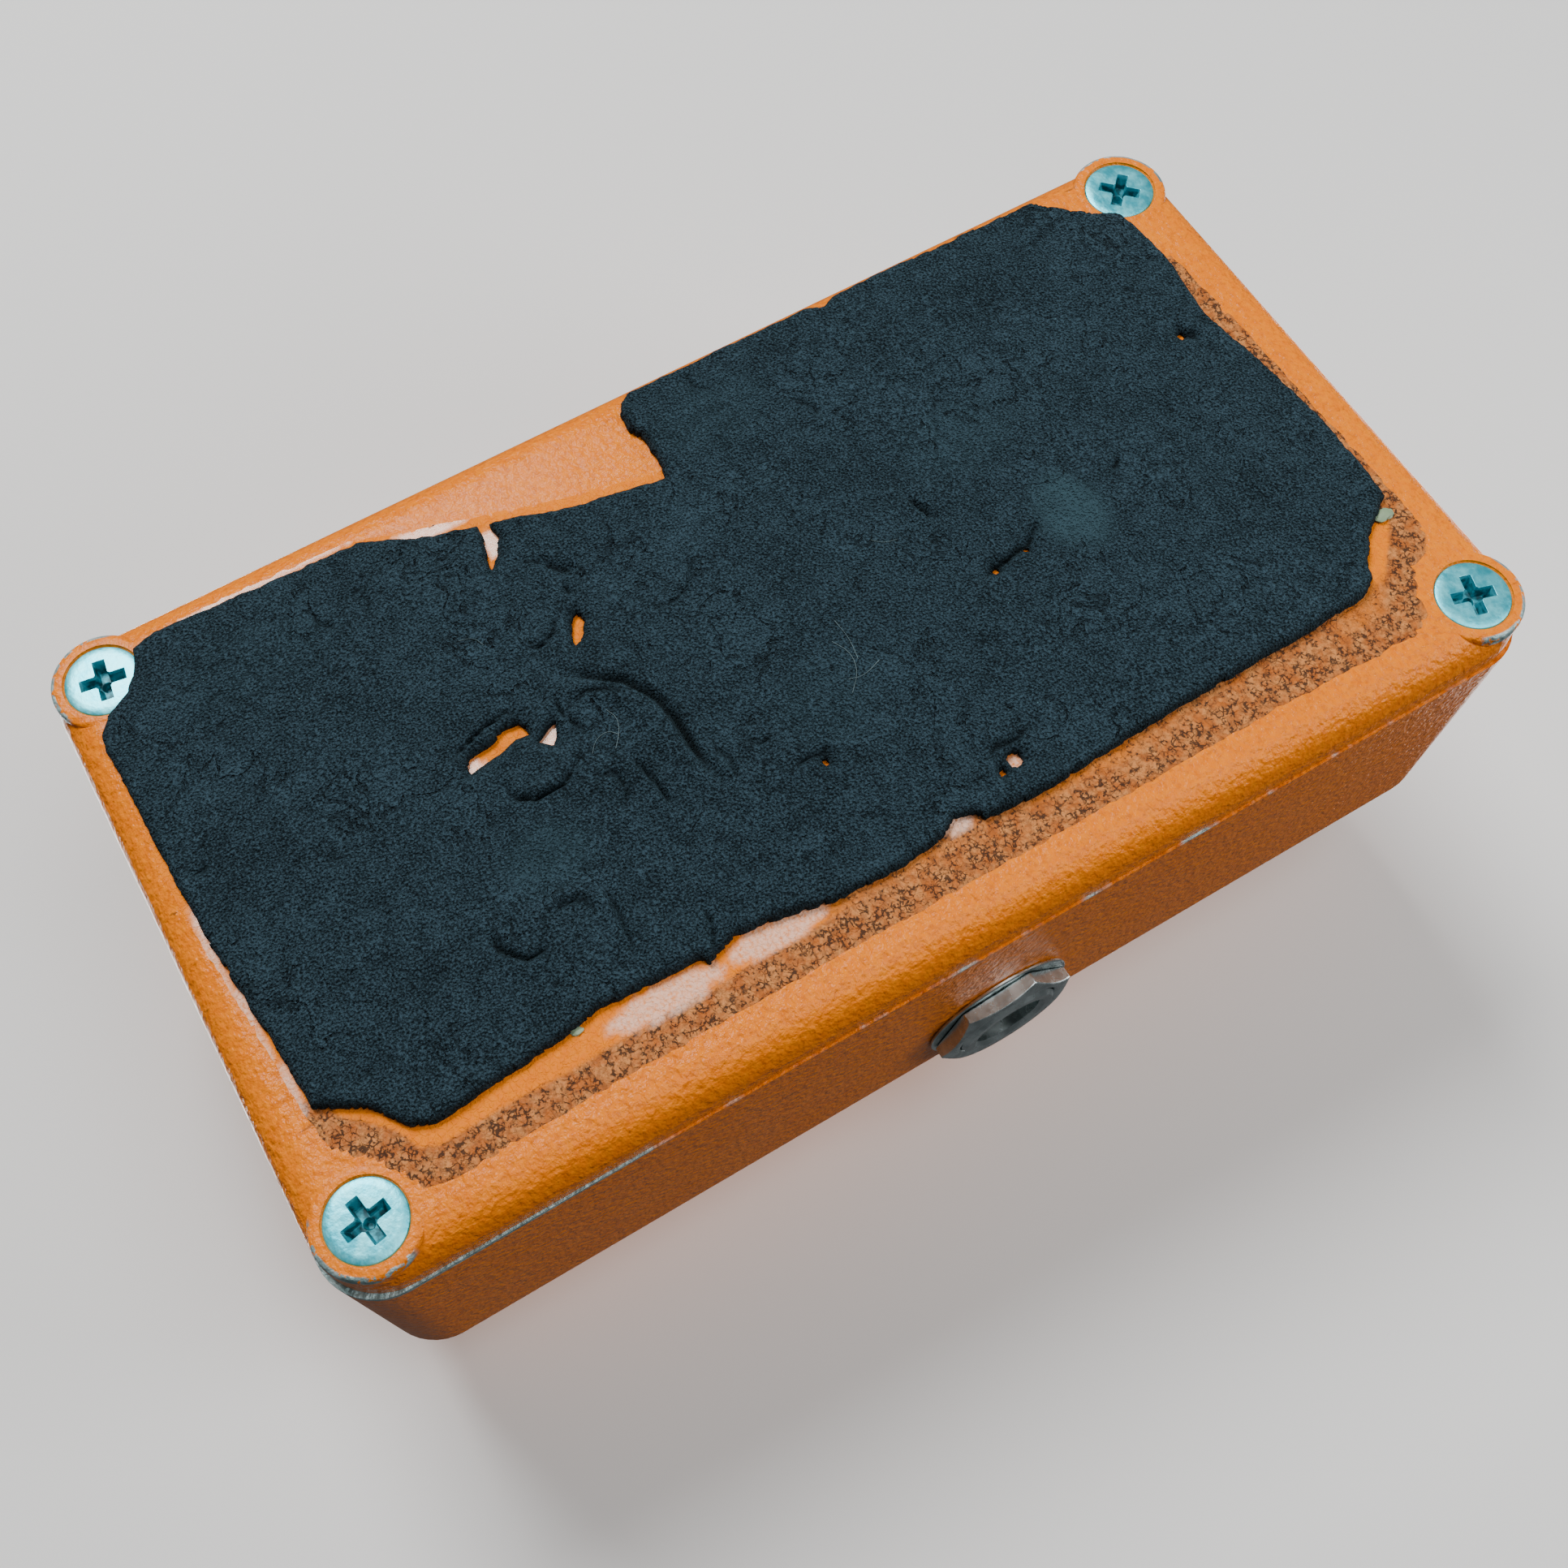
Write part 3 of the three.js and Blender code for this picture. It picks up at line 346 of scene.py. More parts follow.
finishes = {
    "platePaint": paint("platePaint", wornRims, 0.3),
    "bodyPaint": paint("bodyPaint", wornLedge, 0.5),
    "zinc": zincCoat(),
    "foam": foamRubber(),
    "glue": oldGlue(),
    "knob": knobPlastic(),
    "nickel": metal("nickel", (0.42, 0.40, 0.36), (0.66, 0.64, 0.60), 0.30),
    "jackNickel": metal("jackNickel", (0.36, 0.42, 0.42), (0.66, 0.74, 0.74), 0.27),
    "chrome": metal("chrome", (0.62, 0.64, 0.66), (0.80, 0.82, 0.84), 0.16),
    "steel": metal("steel", (0.25, 0.26, 0.27), (0.45, 0.46, 0.47), 0.38),
    "brass": metal("brass", (0.50, 0.34, 0.12), (0.72, 0.52, 0.22), 0.32),
    "blackPlastic": plastic("blackPlastic", (0.008, 0.008, 0.009), (0.024, 0.024, 0.026)),
    "batteryCase": plastic("batteryCase", (0.012, 0.013, 0.016), (0.04, 0.042, 0.05), 0.3, 1.5),
    "batteryFoam": plastic("batteryFoam", (0.03, 0.03, 0.034), (0.07, 0.07, 0.08), 0.9, 0.5, 0.2),
    "fibre": plastic("fibre", (0.10, 0.045, 0.022), (0.17, 0.08, 0.04), 0.7, 0.3, 0.03),
    "boardGreen": plastic("boardGreen", (0.012, 0.075, 0.025), (0.025, 0.12, 0.045), 0.35, 0.8),
    "filmYellow": plastic("filmYellow", (0.42, 0.28, 0.05), (0.55, 0.38, 0.09), 0.4),
    "trimmerBlue": plastic("trimmerBlue", (0.015, 0.08, 0.30), (0.03, 0.13, 0.42), 0.4),
    "redWire": plastic("redWire", (0.40, 0.015, 0.01), (0.55, 0.03, 0.02), 0.4),
    "blackWire": plastic("blackWire", (0.008, 0.008, 0.008), (0.022, 0.022, 0.022), 0.4),
    "whiteWire": plastic("whiteWire", (0.50, 0.48, 0.42), (0.66, 0.64, 0.57), 0.45),
    "paleChip": plastic("paleChip", (0.16, 0.24, 0.14), (0.34, 0.42, 0.26), 0.5, 0.4, 0.05),
    "lint": plastic("lint", (0.06, 0.10, 0.11), (0.14, 0.20, 0.21), 0.7),
}
print("materials made")


# Modelling tools. Shapes are bmeshes in millimetres until they become pieces.

tau = 2 * math.pi


def move(shape, x=0.0, y=0.0, z=0.0):
    bmesh.ops.translate(shape, vec=(x, y, z), verts=shape.verts)
    return shape


def turnShape(shape, angle, axis):
    bmesh.ops.rotate(shape, cent=(0, 0, 0), matrix=Matrix.Rotation(angle, 3, axis), verts=shape.verts)
    return shape


def slab(x0, x1, y0, y1, z0, z1):
    shape = bmesh.new()
    bmesh.ops.create_cube(shape, size=1)
    bmesh.ops.scale(shape, vec=(x1 - x0, y1 - y0, z1 - z0), verts=shape.verts)
    return move(shape, (x0 + x1) / 2, (y0 + y1) / 2, (z0 + z1) / 2)


def rod(radius, z0, z1, sides=64):
    shape = bmesh.new()
    bmesh.ops.create_cone(shape, cap_ends=True, segments=sides, radius1=radius, radius2=radius, depth=z1 - z0)
    return move(shape, z=(z0 + z1) / 2)


def soften(shape, edges, radius, steps):
    bmesh.ops.bevel(shape, geom=edges, offset=radius, offset_type="OFFSET", segments=steps, profile=0.5,
                    affect="EDGES", clamp_overlap=True, material=-1)
    return shape


def roundedBox(width, length, z0, z1, corner, steps=10):
    shape = slab(-width / 2, width / 2, -length / 2, length / 2, z0, z1)
    uprights = [e for e in shape.edges if abs(e.verts[0].co.z - e.verts[1].co.z) > 0.5 * (z1 - z0)]
    return soften(shape, uprights, corner, steps)


def softenRim(shape, z, radius, steps=7):
    rim = [e for e in shape.edges if all(abs(v.co.z - z) < 0.001 for v in e.verts)]
    return soften(shape, rim, radius, steps)


def turned(profile, steps=72):
    # a profile of (radius, height) points spun round the Z axis
    shape = bmesh.new()
    points = [shape.verts.new((radius, 0, z)) for radius, z in profile]
    lines = [shape.edges.new(pair) for pair in zip(points, points[1:])]
    bmesh.ops.spin(shape, geom=points + lines, cent=(0, 0, 0), axis=(0, 0, 1), dvec=(0, 0, 0), angle=tau,
                   steps=steps, use_merge=True)
    bmesh.ops.remove_doubles(shape, verts=shape.verts, dist=0.0005)
    bmesh.ops.recalc_face_normals(shape, faces=shape.faces)
    return shape


def ringed(profile, steps=72):
    return turned([*profile, profile[0]], steps)


def looseObject(shape):
    mesh = bpy.data.meshes.new("loose")
    shape.to_mesh(mesh)
    shape.free()
    made = bpy.data.objects.new("loose", mesh)
    bpy.context.scene.collection.objects.link(made)
    return made


def combined(shape, tools, operation):
    whole = looseObject(shape)
    cutters = [looseObject(tool) for tool in tools]
    for cutter in cutters:
        modifier = whole.modifiers.new("combine", "BOOLEAN")
        modifier.operation = operation
        modifier.solver = "EXACT"
        modifier.object = cutter
    evaluated = whole.evaluated_get(bpy.context.evaluated_depsgraph_get())
    result = bmesh.new()
    result.from_mesh(evaluated.to_mesh())
    evaluated.to_mesh_clear()
    for made in [whole, *cutters]:
        bpy.data.meshes.remove(made.data)
    bmesh.ops.remove_doubles(result, verts=result.verts, dist=0.0005)
    return result


def cut(shape, *tools):
    return combined(shape, tools, "DIFFERENCE")


def joined(shape, *tools):
    return combined(shape, tools, "UNION")


def kept(shape, *tools):
    return combined(shape, tools, "INTERSECT")


def atScrews(makeTool):
    return [move(makeTool(), place.x, place.y) for place in screwPlaces]


def piece(name, shape, body, finish, nodes=(), crease=35):
    bmesh.ops.scale(shape, vec=(mm, mm, mm), verts=shape.verts)
    mesh = bpy.data.meshes.new(name)
    shape.to_mesh(mesh)
    shape.free()
    mesh.materials.append(finishes[finish])
    mesh.shade_smooth()
    mesh.set_sharp_from_angle(angle=math.radians(crease))
    made = bpy.data.objects.new(name, mesh)
    bpy.context.scene.collection.objects.link(made)
    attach(made, body)
    if nodes:
        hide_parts(*nodes)
    return made


def easeEdges(made, width):
    bevel = made.modifiers.new("easedEdges", "BEVEL")
    bevel.width = width * mm
    bevel.segments = 2
    bevel.limit_method = "ANGLE"
    bevel.angle_limit = math.radians(40)
    bevel.harden_normals = False
    normals = made.modifiers.new("evenShading", "WEIGHTED_NORMAL")
    normals.keep_sharp = True
    return made


# The box

box = {
    "corner": 5, "topFillet": 2, "draft": 0.3, "wall": 2, "earRadius": 4.35, "earEdge": 0.5,
    "plateCorner": 5.5, "plateFillet": 3.05, "plateThickness": 2, "flange": 1.8, "ribThickness": 1.2,
    "shankHole": 1.8, "countersink": 1.75, "parting": 4.5, "seam": 0.03, "plateWidth": 60,
    "insideLean": 0.4, "pilotDepth": 8, "jackHole": 4.86, "knobHole": 3.6, "switchHole": 6.1,
}


def earAt(z0, z1):
    radius, edge = box["earRadius"], box["earEdge"]
    return turned([(0, z0), (radius - edge, z0), (radius - 0.45 * edge, z0 + 0.12 * edge),
                   (radius - 0.12 * edge, z0 + 0.45 * edge), (radius, z0 + edge), (radius, z1), (0, z1)])


def enclosureShape():
    bottom, top = plateFace + box["parting"] + box["seam"], bodyHigh.z
    width, length = bodyHigh.x - bodyLow.x, bodyHigh.y - bodyLow.y
    outer = softenRim(roundedBox(width, length, bottom, top, box["corner"]), top, box["topFillet"])
    for v in outer.verts:
        lean = box["draft"] * (v.co.z - bottom) / (top - bottom)
        v.co.x -= math.copysign(lean, v.co.x)
        v.co.y -= math.copysign(lean, v.co.y)
    wall = box["wall"]
    under = top - wall
    room = 2 * wall + box["insideLean"]
    hollow = roundedBox(width - room, length - room, bottom - 1, under, box["corner"] - wall, 6)
    hollow = cut(hollow, *atScrews(lambda: rod(box["earRadius"], bottom - 2, top, 48)))
    pilots = atScrews(lambda: rod(box["shankHole"], bottom - 1, bottom + box["pilotDepth"], 24))
    jackHole = turnShape(rod(box["jackHole"], -60, 60), math.pi / 2, "Y")  # through both walls
    move(jackHole, 0, jackPlace.y, jackPlace.z)
    knobHole = move(rod(box["knobHole"], under - 1, top + 1), 0, knobPlace.y)
    switchHole = move(rod(box["switchHole"], under - 1, top + 1), 0, switchPlace.y)
    return cut(outer, hollow, *pilots, jackHole, knobHole, switchHole)


def plateShape():
    face, parting = plateFace, plateFace + box["parting"]
    width, length = box["plateWidth"], plateHigh.y - plateLow.y
    flange, thickness = box["flange"], box["plateThickness"]
    outer = roundedBox(width, length, face, parting, box["plateCorner"])
    outer = softenRim(outer, face, box["plateFillet"], 8)
    outer = joined(outer, *atScrews(lambda: earAt(face - 0.015, parting)))
    inside = face + thickness
    corner = box["plateCorner"] - flange
    hollow = roundedBox(width - 2 * flange, length - 2 * flange, inside, parting + 1, corner, 6)
    hollow = cut(hollow, *atScrews(lambda: rod(box["earRadius"], inside - 1, parting + 2, 48)))
    ribRoom = 2 * box["wall"] + 1
    rib = roundedBox(width - ribRoom, length - ribRoom, inside - 0.5, plateHigh.z, 3, 6)
    ribRoom += 2 * box["ribThickness"]
    ribHole = roundedBox(width - ribRoom, length - ribRoom, inside - 1, plateHigh.z + 1, 2, 6)
    rib = cut(rib, ribHole, *atScrews(lambda: rod(box["earRadius"] + 0.3, inside - 2, plateHigh.z + 1, 48)))
    head = screwHeadRadius + 0.1
    holes = atScrews(lambda: turned([
        (0, face - 1), (head, face - 1), (head, face + 0.1), (box["shankHole"], face + box["countersink"]),
        (box["shankHole"], parting + 1), (0, parting + 1)]))
    return cut(joined(cut(outer, hollow), rib), *holes)


enclosure = piece("enclosureShell", enclosureShape(), "case", "bodyPaint", ["enclosure_body"])
easeEdges(enclosure, 0.16)
plate = piece("basePlateShell", plateShape(), "case", "platePaint", ["base_plate"])
easeEdges(plate, 0.06)
print("box made")


# Screws

screw = {
    "shank": 1.7, "length": 11, "turns": [9, -10, 17, 45],  # degrees, one for each screw
    "pitch": 0.7, "threadDepth": 0.3, "armWidth": 1.2, "armSpan": 4.5, "recessDepth": 1.35,
    "armTaper": 0.62, "coreRadius": 0.75,
}


def recessTool(face):
    # a cross that narrows as it goes in, round a tapered core
    depth = screw["recessDepth"]
    arms = []
    for width, span in ((screw["armWidth"], screw["armSpan"]), (screw["armSpan"], screw["armWidth"])):
        arm = slab(-width / 2, width / 2, -span / 2, span / 2, face - 1, face + depth)
        for v in arm.verts:
            if v.co.z > face:
                v.co.x *= screw["armTaper"]
                v.co.y *= screw["armTaper"]
        arms.append(arm)
    core = turned([(0, face - 1), (screw["coreRadius"] * 1.35, face - 1), (screw["coreRadius"], face + 0.5),
                   (0.25, face + depth + 0.7), (0, face + depth + 0.75)], 24)
    return joined(arms[0], arms[1], core)


def screwShape(turn):
    radius, shank = screwHeadRadius, screw["shank"]
    face = plateFace
    end = face + screw["length"]
    neck = face + box["countersink"] - 0.05
    thread = []
    z = neck + 1.2
    while z < end - 2 * screw["pitch"]:
        thread += [(shank - screw["threadDepth"], z), (shank, z + screw["pitch"] / 2)]
        z += screw["pitch"]
    head = turned([
        (0, face), (radius - 0.75, face + 0.01), (radius - 0.3, face + 0.05), (radius - 0.08, face + 0.13),
        (radius, face + 0.27), (radius - 0.05, face + 0.4), (shank, neck), (shank, neck + 1), *thread,
        (0.5 * shank, end - 0.3), (0, end)], 64)
    return turnShape(cut(head, recessTool(face)), math.radians(turn), "Z")


for number, (place, turn) in enumerate(zip(screwPlaces, screw["turns"]), 1):
    shape = move(screwShape(turn), place.x, place.y)
    made = piece(f"baseScrew{number}", shape, "case", "zinc", [f"base_screw_{number}"])
    easeEdges(made, 0.06)
print("screws made")


# The foam pad and the glue under it. Points on the plate are (along, across): along runs to the knob end and
# across to the output jack's side, in millimetres from the middle.

def xyOf(points):
    points = np.array(points, float)
    return np.column_stack([-points[:, 1], points[:, 0]])


def distanceTo(line, points):
    # distance from each point to a line, and which side it is on
    nearest = np.full(len(points), 1e9)
    side = np.ones(len(points))
    for start, end in zip(line, line[1:]):
        step = end - start
        share = np.clip((points - start) @ step / (step @ step), 0, 1)
        gap = points - start - share[:, None] * step
        distance = np.hypot(gap[:, 0], gap[:, 1])
        closer = distance < nearest
        nearest[closer] = distance[closer]
        side[closer] = np.sign(step[0] * gap[:, 1] - step[1] * gap[:, 0])[closer]
    return nearest, side


def depthIn(outline, points):
    # distance in from a closed outline, below zero outside it
    line = np.vstack([outline, outline[:1]])
    inside = np.zeros(len(points), bool)
    x, y = points.T
    for (x0, y0), (x1, y1) in zip(line, line[1:]):
        spans = (y0 > y) != (y1 > y)
        inside ^= spans & (x < (x1 - x0) * (y - y0) / (y1 - y0 + 1e-12) + x0)
    distance = distanceTo(line, points)[0]
    return np.where(inside, distance, -distance)


def lumps(points, size, seed):
    return np.array([noise.noise(Vector((x / size, y / size, seed))) for x, y in points])


def smooth(value, low, high):
    share = np.clip((value - low) / (high - low), 0, 1)
    return share * share * (3 - 2 * share)


def trimmedSheet(depthAt, low, high, cell):
    # a flat sheet of small squares whose edge follows where depthAt(points) is zero
    shape = bmesh.new()
    wide, long = high[0] - low[0], high[1] - low[1]
    bmesh.ops.create_grid(shape, x_segments=round(wide / cell), y_segments=round(long / cell), size=0.5)
    bmesh.ops.scale(shape, vec=(wide, long, 1), verts=shape.verts)
    move(shape, (low[0] + high[0]) / 2, (low[1] + high[1]) / 2)
    shape.verts.ensure_lookup_table()
    points = np.array([v.co.xy[:] for v in shape.verts])
    depth = depthAt(points)
    snap = 0.55 * cell  # corners this near the edge are moved on to it
    edging = np.where(abs(depth) < snap)[0]
    near, step = points[edging], 0.02
    slope = np.column_stack([
        depthAt(near + (step, 0)) - depthAt(near - (step, 0)),
        depthAt(near + (0, step)) - depthAt(near - (0, step)),
    ]) / (2 * step)
    slope /= np.maximum(np.hypot(slope[:, 0], slope[:, 1]), 0.3)[:, None] ** 2
    for i, (x, y) in zip(edging, near - depth[edging, None] * slope):
        shape.verts[i].co.xy = x, y
    onEdge = set(edging.tolist())
    stray = [f for f in shape.faces if all(v.index in onEdge for v in f.verts)
             and sum(depth[v.index] for v in f.verts) < 0]
    outside = [shape.verts[i] for i in np.where(depth <= -snap)[0]]
    bmesh.ops.delete(shape, geom=stray, context="FACES")
    bmesh.ops.delete(shape, geom=outside, context="VERTS")
    bmesh.ops.delete(shape, geom=[v for v in shape.verts if not v.link_faces], context="VERTS")
    return shape


def thickened(shape, backZ):
    # gives the sheet side walls and a flat back
    rim = [e for e in shape.edges if e.is_boundary]
    walls = bmesh.ops.extrude_edge_only(shape, edges=rim)["geom"]
    for v in walls:
        if isinstance(v, bmesh.types.BMVert):
            v.co.z = backZ
    backRim = [e for e in walls if isinstance(e, bmesh.types.BMEdge) and e.is_boundary]
    bmesh.ops.triangle_fill(shape, use_beauty=False, use_dissolve=False, edges=backRim)
    bmesh.ops.recalc_face_normals(shape, faces=shape.faces)
    return shape


def label(made, name, valueAt):
    # stores a value for each vertex, for the material to read
    points = np.array([v.co.xy[:] for v in made.data.vertices]) / mm
    attribute = made.data.attributes.new(name, "FLOAT", "POINT")
    attribute.data.foreach_set("value", np.clip(valueAt(points), 0, 1).astype(np.float32))


pad = {
    "cell": 0.3, "back": 1.4, "face": 0.36, "thickest": -0.3, "thinnest": 1.15,
    "edgeRound": 0.55, "ragged": 0.16,
    "outline": [
        (-52.7, -18), (-52.5, -20), (-51.5, -21.5), (-49, -23), (-48, -24.5), (-47.3, -26.3), (-45, -27),
        (-40, -26.6), (-30, -26.3), (-27, -26.2), (-25, -25.3), (-22.5, -24), (-20, -23.2), (-17.6, -22.5),
        (-17.9, -20.5), (-18.8, -17.8), (-17.4, -19), (-16.6, -20.6), (-16.7, -22.2), (-15, -21.8),
        (-12, -20.8), (-9, -20), (-5, -19.3), (-1.5, -18.5), (-1.1, -21), (-1.2, -23.5), (-1.8, -24.5),
        (-1.7, -26.5), (-1, -27.5), (0, -28), (18, -28), (19.5, -27.3), (21, -28), (42, -27.8), (43, -27),
        (45, -25), (46.5, -23.8), (48.5, -22.5), (49, -20), (49.2, -15), (48.5, -9), (49.2, -5), (49.8, 0),
        (50.3, 5), (50.4, 10), (50, 14), (48, 15.5), (46.5, 16.5), (44.8, 18.5), (44, 20), (42.5, 21),
        (35, 21.3), (20, 21.6), (10, 22.2), (4.5, 21.8), (3.8, 20.8), (2.5, 20.5), (1, 21.5), (-3, 21.9),
        (-10, 21.6), (-13, 20.8), (-17, 20.2), (-19.9, 21.2), (-20.3, 20.5), (-24, 20.4), (-29, 20),
        (-32, 20.7), (-40, 21.4), (-43, 21.6), (-45, 21), (-46, 19.5), (-47, 18.2), (-49, 17), (-50.5, 16),
        (-51, 10), (-51.5, 5), (-52, 0), (-52.4, -10),
    ],
    "holes": [
        [(-14.3, -11), (-14.1, -10), (-14.9, -8.6), (-15.9, -8.1), (-15.6, -9.4), (-14.9, -10.5)],
        [(-28.7, -2), (-28, -3.5), (-25.5, -3.7), (-24.5, -4.4), (-23.1, -4.3), (-22.7, -2.7), (-24, -3),
         (-25.5, -2.5), (-27, -2.3)],
        [(-22.6, -1.9), (-20.4, -3), (-21, -1.6), (-21.6, -0.9)],
        [(-4, 11), (-3.5, 10.9), (-3.4, 11.6), (-3.8, 11.7)],
        [(7.6, 18.9), (8.3, 18.8), (8.2, 19.5), (7.6, 19.5)],
        [(8.7, 18.3), (9.6, 18), (10, 18.8), (9.5, 19.4), (8.8, 19.2)],
        [(17.4, 3.2), (18, 3.2), (17.9, 3.7), (17.5, 3.7)],
        [(20.7, 2.9), (21.3, 2.7), (21.3, 3.3), (20.9, 3.4)],
        [(44.9, -8.6), (45.5, -8.7), (45.5, -8), (45, -8)],
    ],
    # each crease: its line, how wide and deep the groove is, and how high the fold beside it stands
    "creases": [
        ([(-18.5, -6.3), (-16.5, -5), (-14, -3), (-12.6, -0.5), (-12.2, 2), (-12.2, 4.5), (-12, 7),
          (-11.2, 9.5)], 0.75, 0.62, 0.42),
        ([(-19, -3.2), (-17.2, -3.6), (-15.2, -2.6), (-14.4, -1.4)], 0.4, 0.32, 0.15),
        ([(-16.9, 3), (-16.3, 5.5), (-15.9, 9)], 0.42, 0.5, 0.22),
        ([(-19.8, -4.5), (-19.6, -2.5), (-18.8, -0.5)], 0.38, 0.32, 0.12),
        ([(-29.5, -3.8), (-26, -5), (-23.6, -5.4), (-22, -4.6)], 0.35, 0.4, 0.1),
        ([(-26.8, 0), (-26.4, 1.8), (-25, 2.7), (-22.5, 2.6), (-20.5, 1.4)], 0.4, 0.36, -0.12),
        ([(-3.9, -11.5), (-4.2, -9.4), (-5.6, -7.9), (-7.6, -7.4), (-9.6, -7.9)], 0.35, 0.22, -0.06),
        ([(-19.8, -9.8), (-18.4, -9.3), (-17, -9.8), (-16, -11.2)], 0.38, 0.28, -0.08),
        ([(-33.4, -21.9), (-33.2, -20.4), (-32, -19.2)], 0.4, 0.28, 0.1),
        ([(-30, -21.4), (-28.4, -21.9)], 0.35, 0.2, 0.0),
        ([(-33.4, 10.6), (-33, 12.6), (-31.6, 14.2), (-29.6, 14)], 0.5, 0.4, 0.12),
        ([(-28.4, 12.2), (-27.4, 11.4), (-25.8, 12), (-25.2, 13.6)], 0.42, 0.26, -0.1),
        ([(-24.2, 11), (-23.8, 13), (-24.2, 16), (-24.6, 19)], 0.4, 0.26, 0.1),
        ([(-18.2, 17), (-18.4, 19), (-19.4, 21)], 0.35, 0.3, 0.08),
        ([(-14.6, -16.4), (-13.4, -15), (-12.6, -14.6)], 0.6, 0.7, 0.1),
        ([(-16.4, -17.5), (-14.6, -16.4)], 0.4, 0.3, 0.0),
        ([(-14.2, -13.6), (-13.8, -12.2)], 0.4, 0.34, 0.0),
        ([(-8.6, 6), (-7.6, 7.4), (-6, 7.6)], 0.34, 0.26, 0.08),
        ([(-11, 5.4), (-10.2, 7.4), (-10.6, 9.6)], 0.4, 0.26, 0.1),
        ([(14.9, -6.6), (15.4, -5), (15.9, -3.2)], 0.45, 0.42, 0.08),
        ([(16, 3.7), (18, 3.3), (20, 2.9), (21.6, 2.6), (22.8, 1.7), (23.8, 1.5)], 0.55, 0.62, 0.06),
        ([(21, -8.6), (20.8, -10.6), (21.6, -12.6), (23.4, -13.8)], 0.4, 0.14, -0.04),
        ([(27.8, -1.8), (28.8, 0), (29, 2)], 0.4, 0.1, 0.03),
        ([(5.2, -27), (5, -25.6), (6, -24.6), (7.4, -25)], 0.35, 0.2, -0.04),
        ([(11.6, -20), (12.8, -18.6), (13.2, -16.8)], 0.4, 0.26, 0.04),
        ([(31.6, 0.4), (32.8, -0.4)], 0.5, 0.3, 0.0),
        ([(44.8, -8.8), (46, -8), (46, -7.2)], 0.6, 0.5, 0.0),
        ([(7, 18), (8.4, 17.2), (10.4, 17.4), (12.4, 16.8)], 0.5, 0.3, 0.12),
        ([(-6.2, 10.6), (-4.6, 10.4), (-3.2, 10.6), (-2.4, 11.4)], 0.4, 0.28, 0.04),
        ([(-50.8, -5.2), (-50, -5), (-49.4, -5.4)], 0.4, 0.26, 0.05),
        ([(-46, 4.4), (-43, 4), (-39, 4.6), (-36, 4)], 0.3, 0.1, 0.02),
        ([(-20.2, 3.4), (-18.6, 3.8), (-18.4, 5.4), (-19.4, 7)], 0.36, 0.26, 0.1),
    ],
    # raised and sunken places: (along, across, reach, rise)
    "mounds": [
        (-14.6, 2.5, 2.6, 0.30), (-24, 0.6, 2.6, 0.16), (-16.5, -1.4, 2.2, 0.18), (-30, 13, 3, 0.14),
        (-19, -12.5, 3.2, 0.16), (-9.5, 7, 2.4, 0.16), (-18.5, 12.5, 4, -0.16), (-13.3, -14.9, 1.1, -0.35),
        (-26, 16.5, 3, 0.12), (24.5, -10.5, 3, -0.08), (-21.5, 7.5, 3, 0.14), (-35, -19, 3, 0.12),
        (9.5, 16, 2, 0.16),
    ],
    # paler places: (along, across, reach along, reach across, strength)
    "pale": [
        (26.2, 2, 3.2, 4.2, 0.85), (22, -9, 6, 4, 0.18), (5, -22, 6, 4, 0.16), (-26.5, 7.5, 4, 3, 0.3),
        (-1, 7, 5, 4, 0.12), (-40, -20, 8, 4, 0.1),
    ],
}
padOutline = xyOf(pad["outline"])
padHoles = [xyOf(hole) for hole in pad["holes"]]


def padDepth(points):
    # distance in from the pad's torn edge
    ragged = lumps(points, 1.3, 4.0) + 0.6 * lumps(points, 0.5, 9.0)
    depth = depthIn(padOutline, points) + ragged * pad["ragged"]
    for hole in padHoles:
        depth = np.minimum(depth, -depthIn(hole, points) + ragged * 0.6 * pad["ragged"])
    return depth


def creaseShape(points):
    # height changes from the creases, and how shaded each groove is
    height = np.zeros(len(points))
    shade = np.zeros(len(points))
    for line, width, groove, fold in pad["creases"]:
        line = xyOf(line)
        distance, side = distanceTo(line, points)
        toEnds = np.minimum(*[np.hypot(*(points - end).T) for end in (line[0], line[-1])])
        taper = 0.35 * np.hypot(*(line[-1] - line[0]))
        wavy = (1 + 0.5 * lumps(points, 1.4, 2.0)) * smooth(toEnds, -0.3 * taper, taper)
        inGroove = np.exp(-(distance / (0.5 * width)) ** 2) * wavy
        away = side * distance * math.copysign(1, fold)
        height += 1.5 * abs(fold) * wavy * np.exp(-((away - 1.5 * width) / (1.4 * width)) ** 2)
        height -= 1.8 * groove * inGroove
        shade = np.maximum(shade, smooth(inGroove, 0.15, 0.75) * min(1, groove / 0.35))
    return height, shade


def padHeight(points):
    # how far the worn face stands below the plate, as a height towards -Z
    height = 0.13 * lumps(points, 13, 1.0) + 0.12 * lumps(points, 4.2, 3.0) + 0.09 * lumps(points, 1.5, 5.0)
    height += 0.05 * lumps(points, 0.7, 7.0)
    height += creaseShape(points)[0]
    for along, across, reach, rise in pad["mounds"]:
        away = np.hypot(points[:, 1] - along, points[:, 0] + across)
        height += rise * np.exp(-(away / reach) ** 2)
    return height


def padZ(points):
    surface = np.clip(pad["face"] - padHeight(points), pad["thickest"], pad["thinnest"])
    depth = padDepth(points)
    rounding = np.clip(1 - depth / pad["edgeRound"], 0, 1) ** 2
    for hole in padHoles:
        torn = -depthIn(hole, points)
        rounding = np.maximum(rounding, 0.8 * np.clip(1 - torn / 0.9, 0, 1))
    return surface + rounding * (pad["thinnest"] - surface) * 0.75


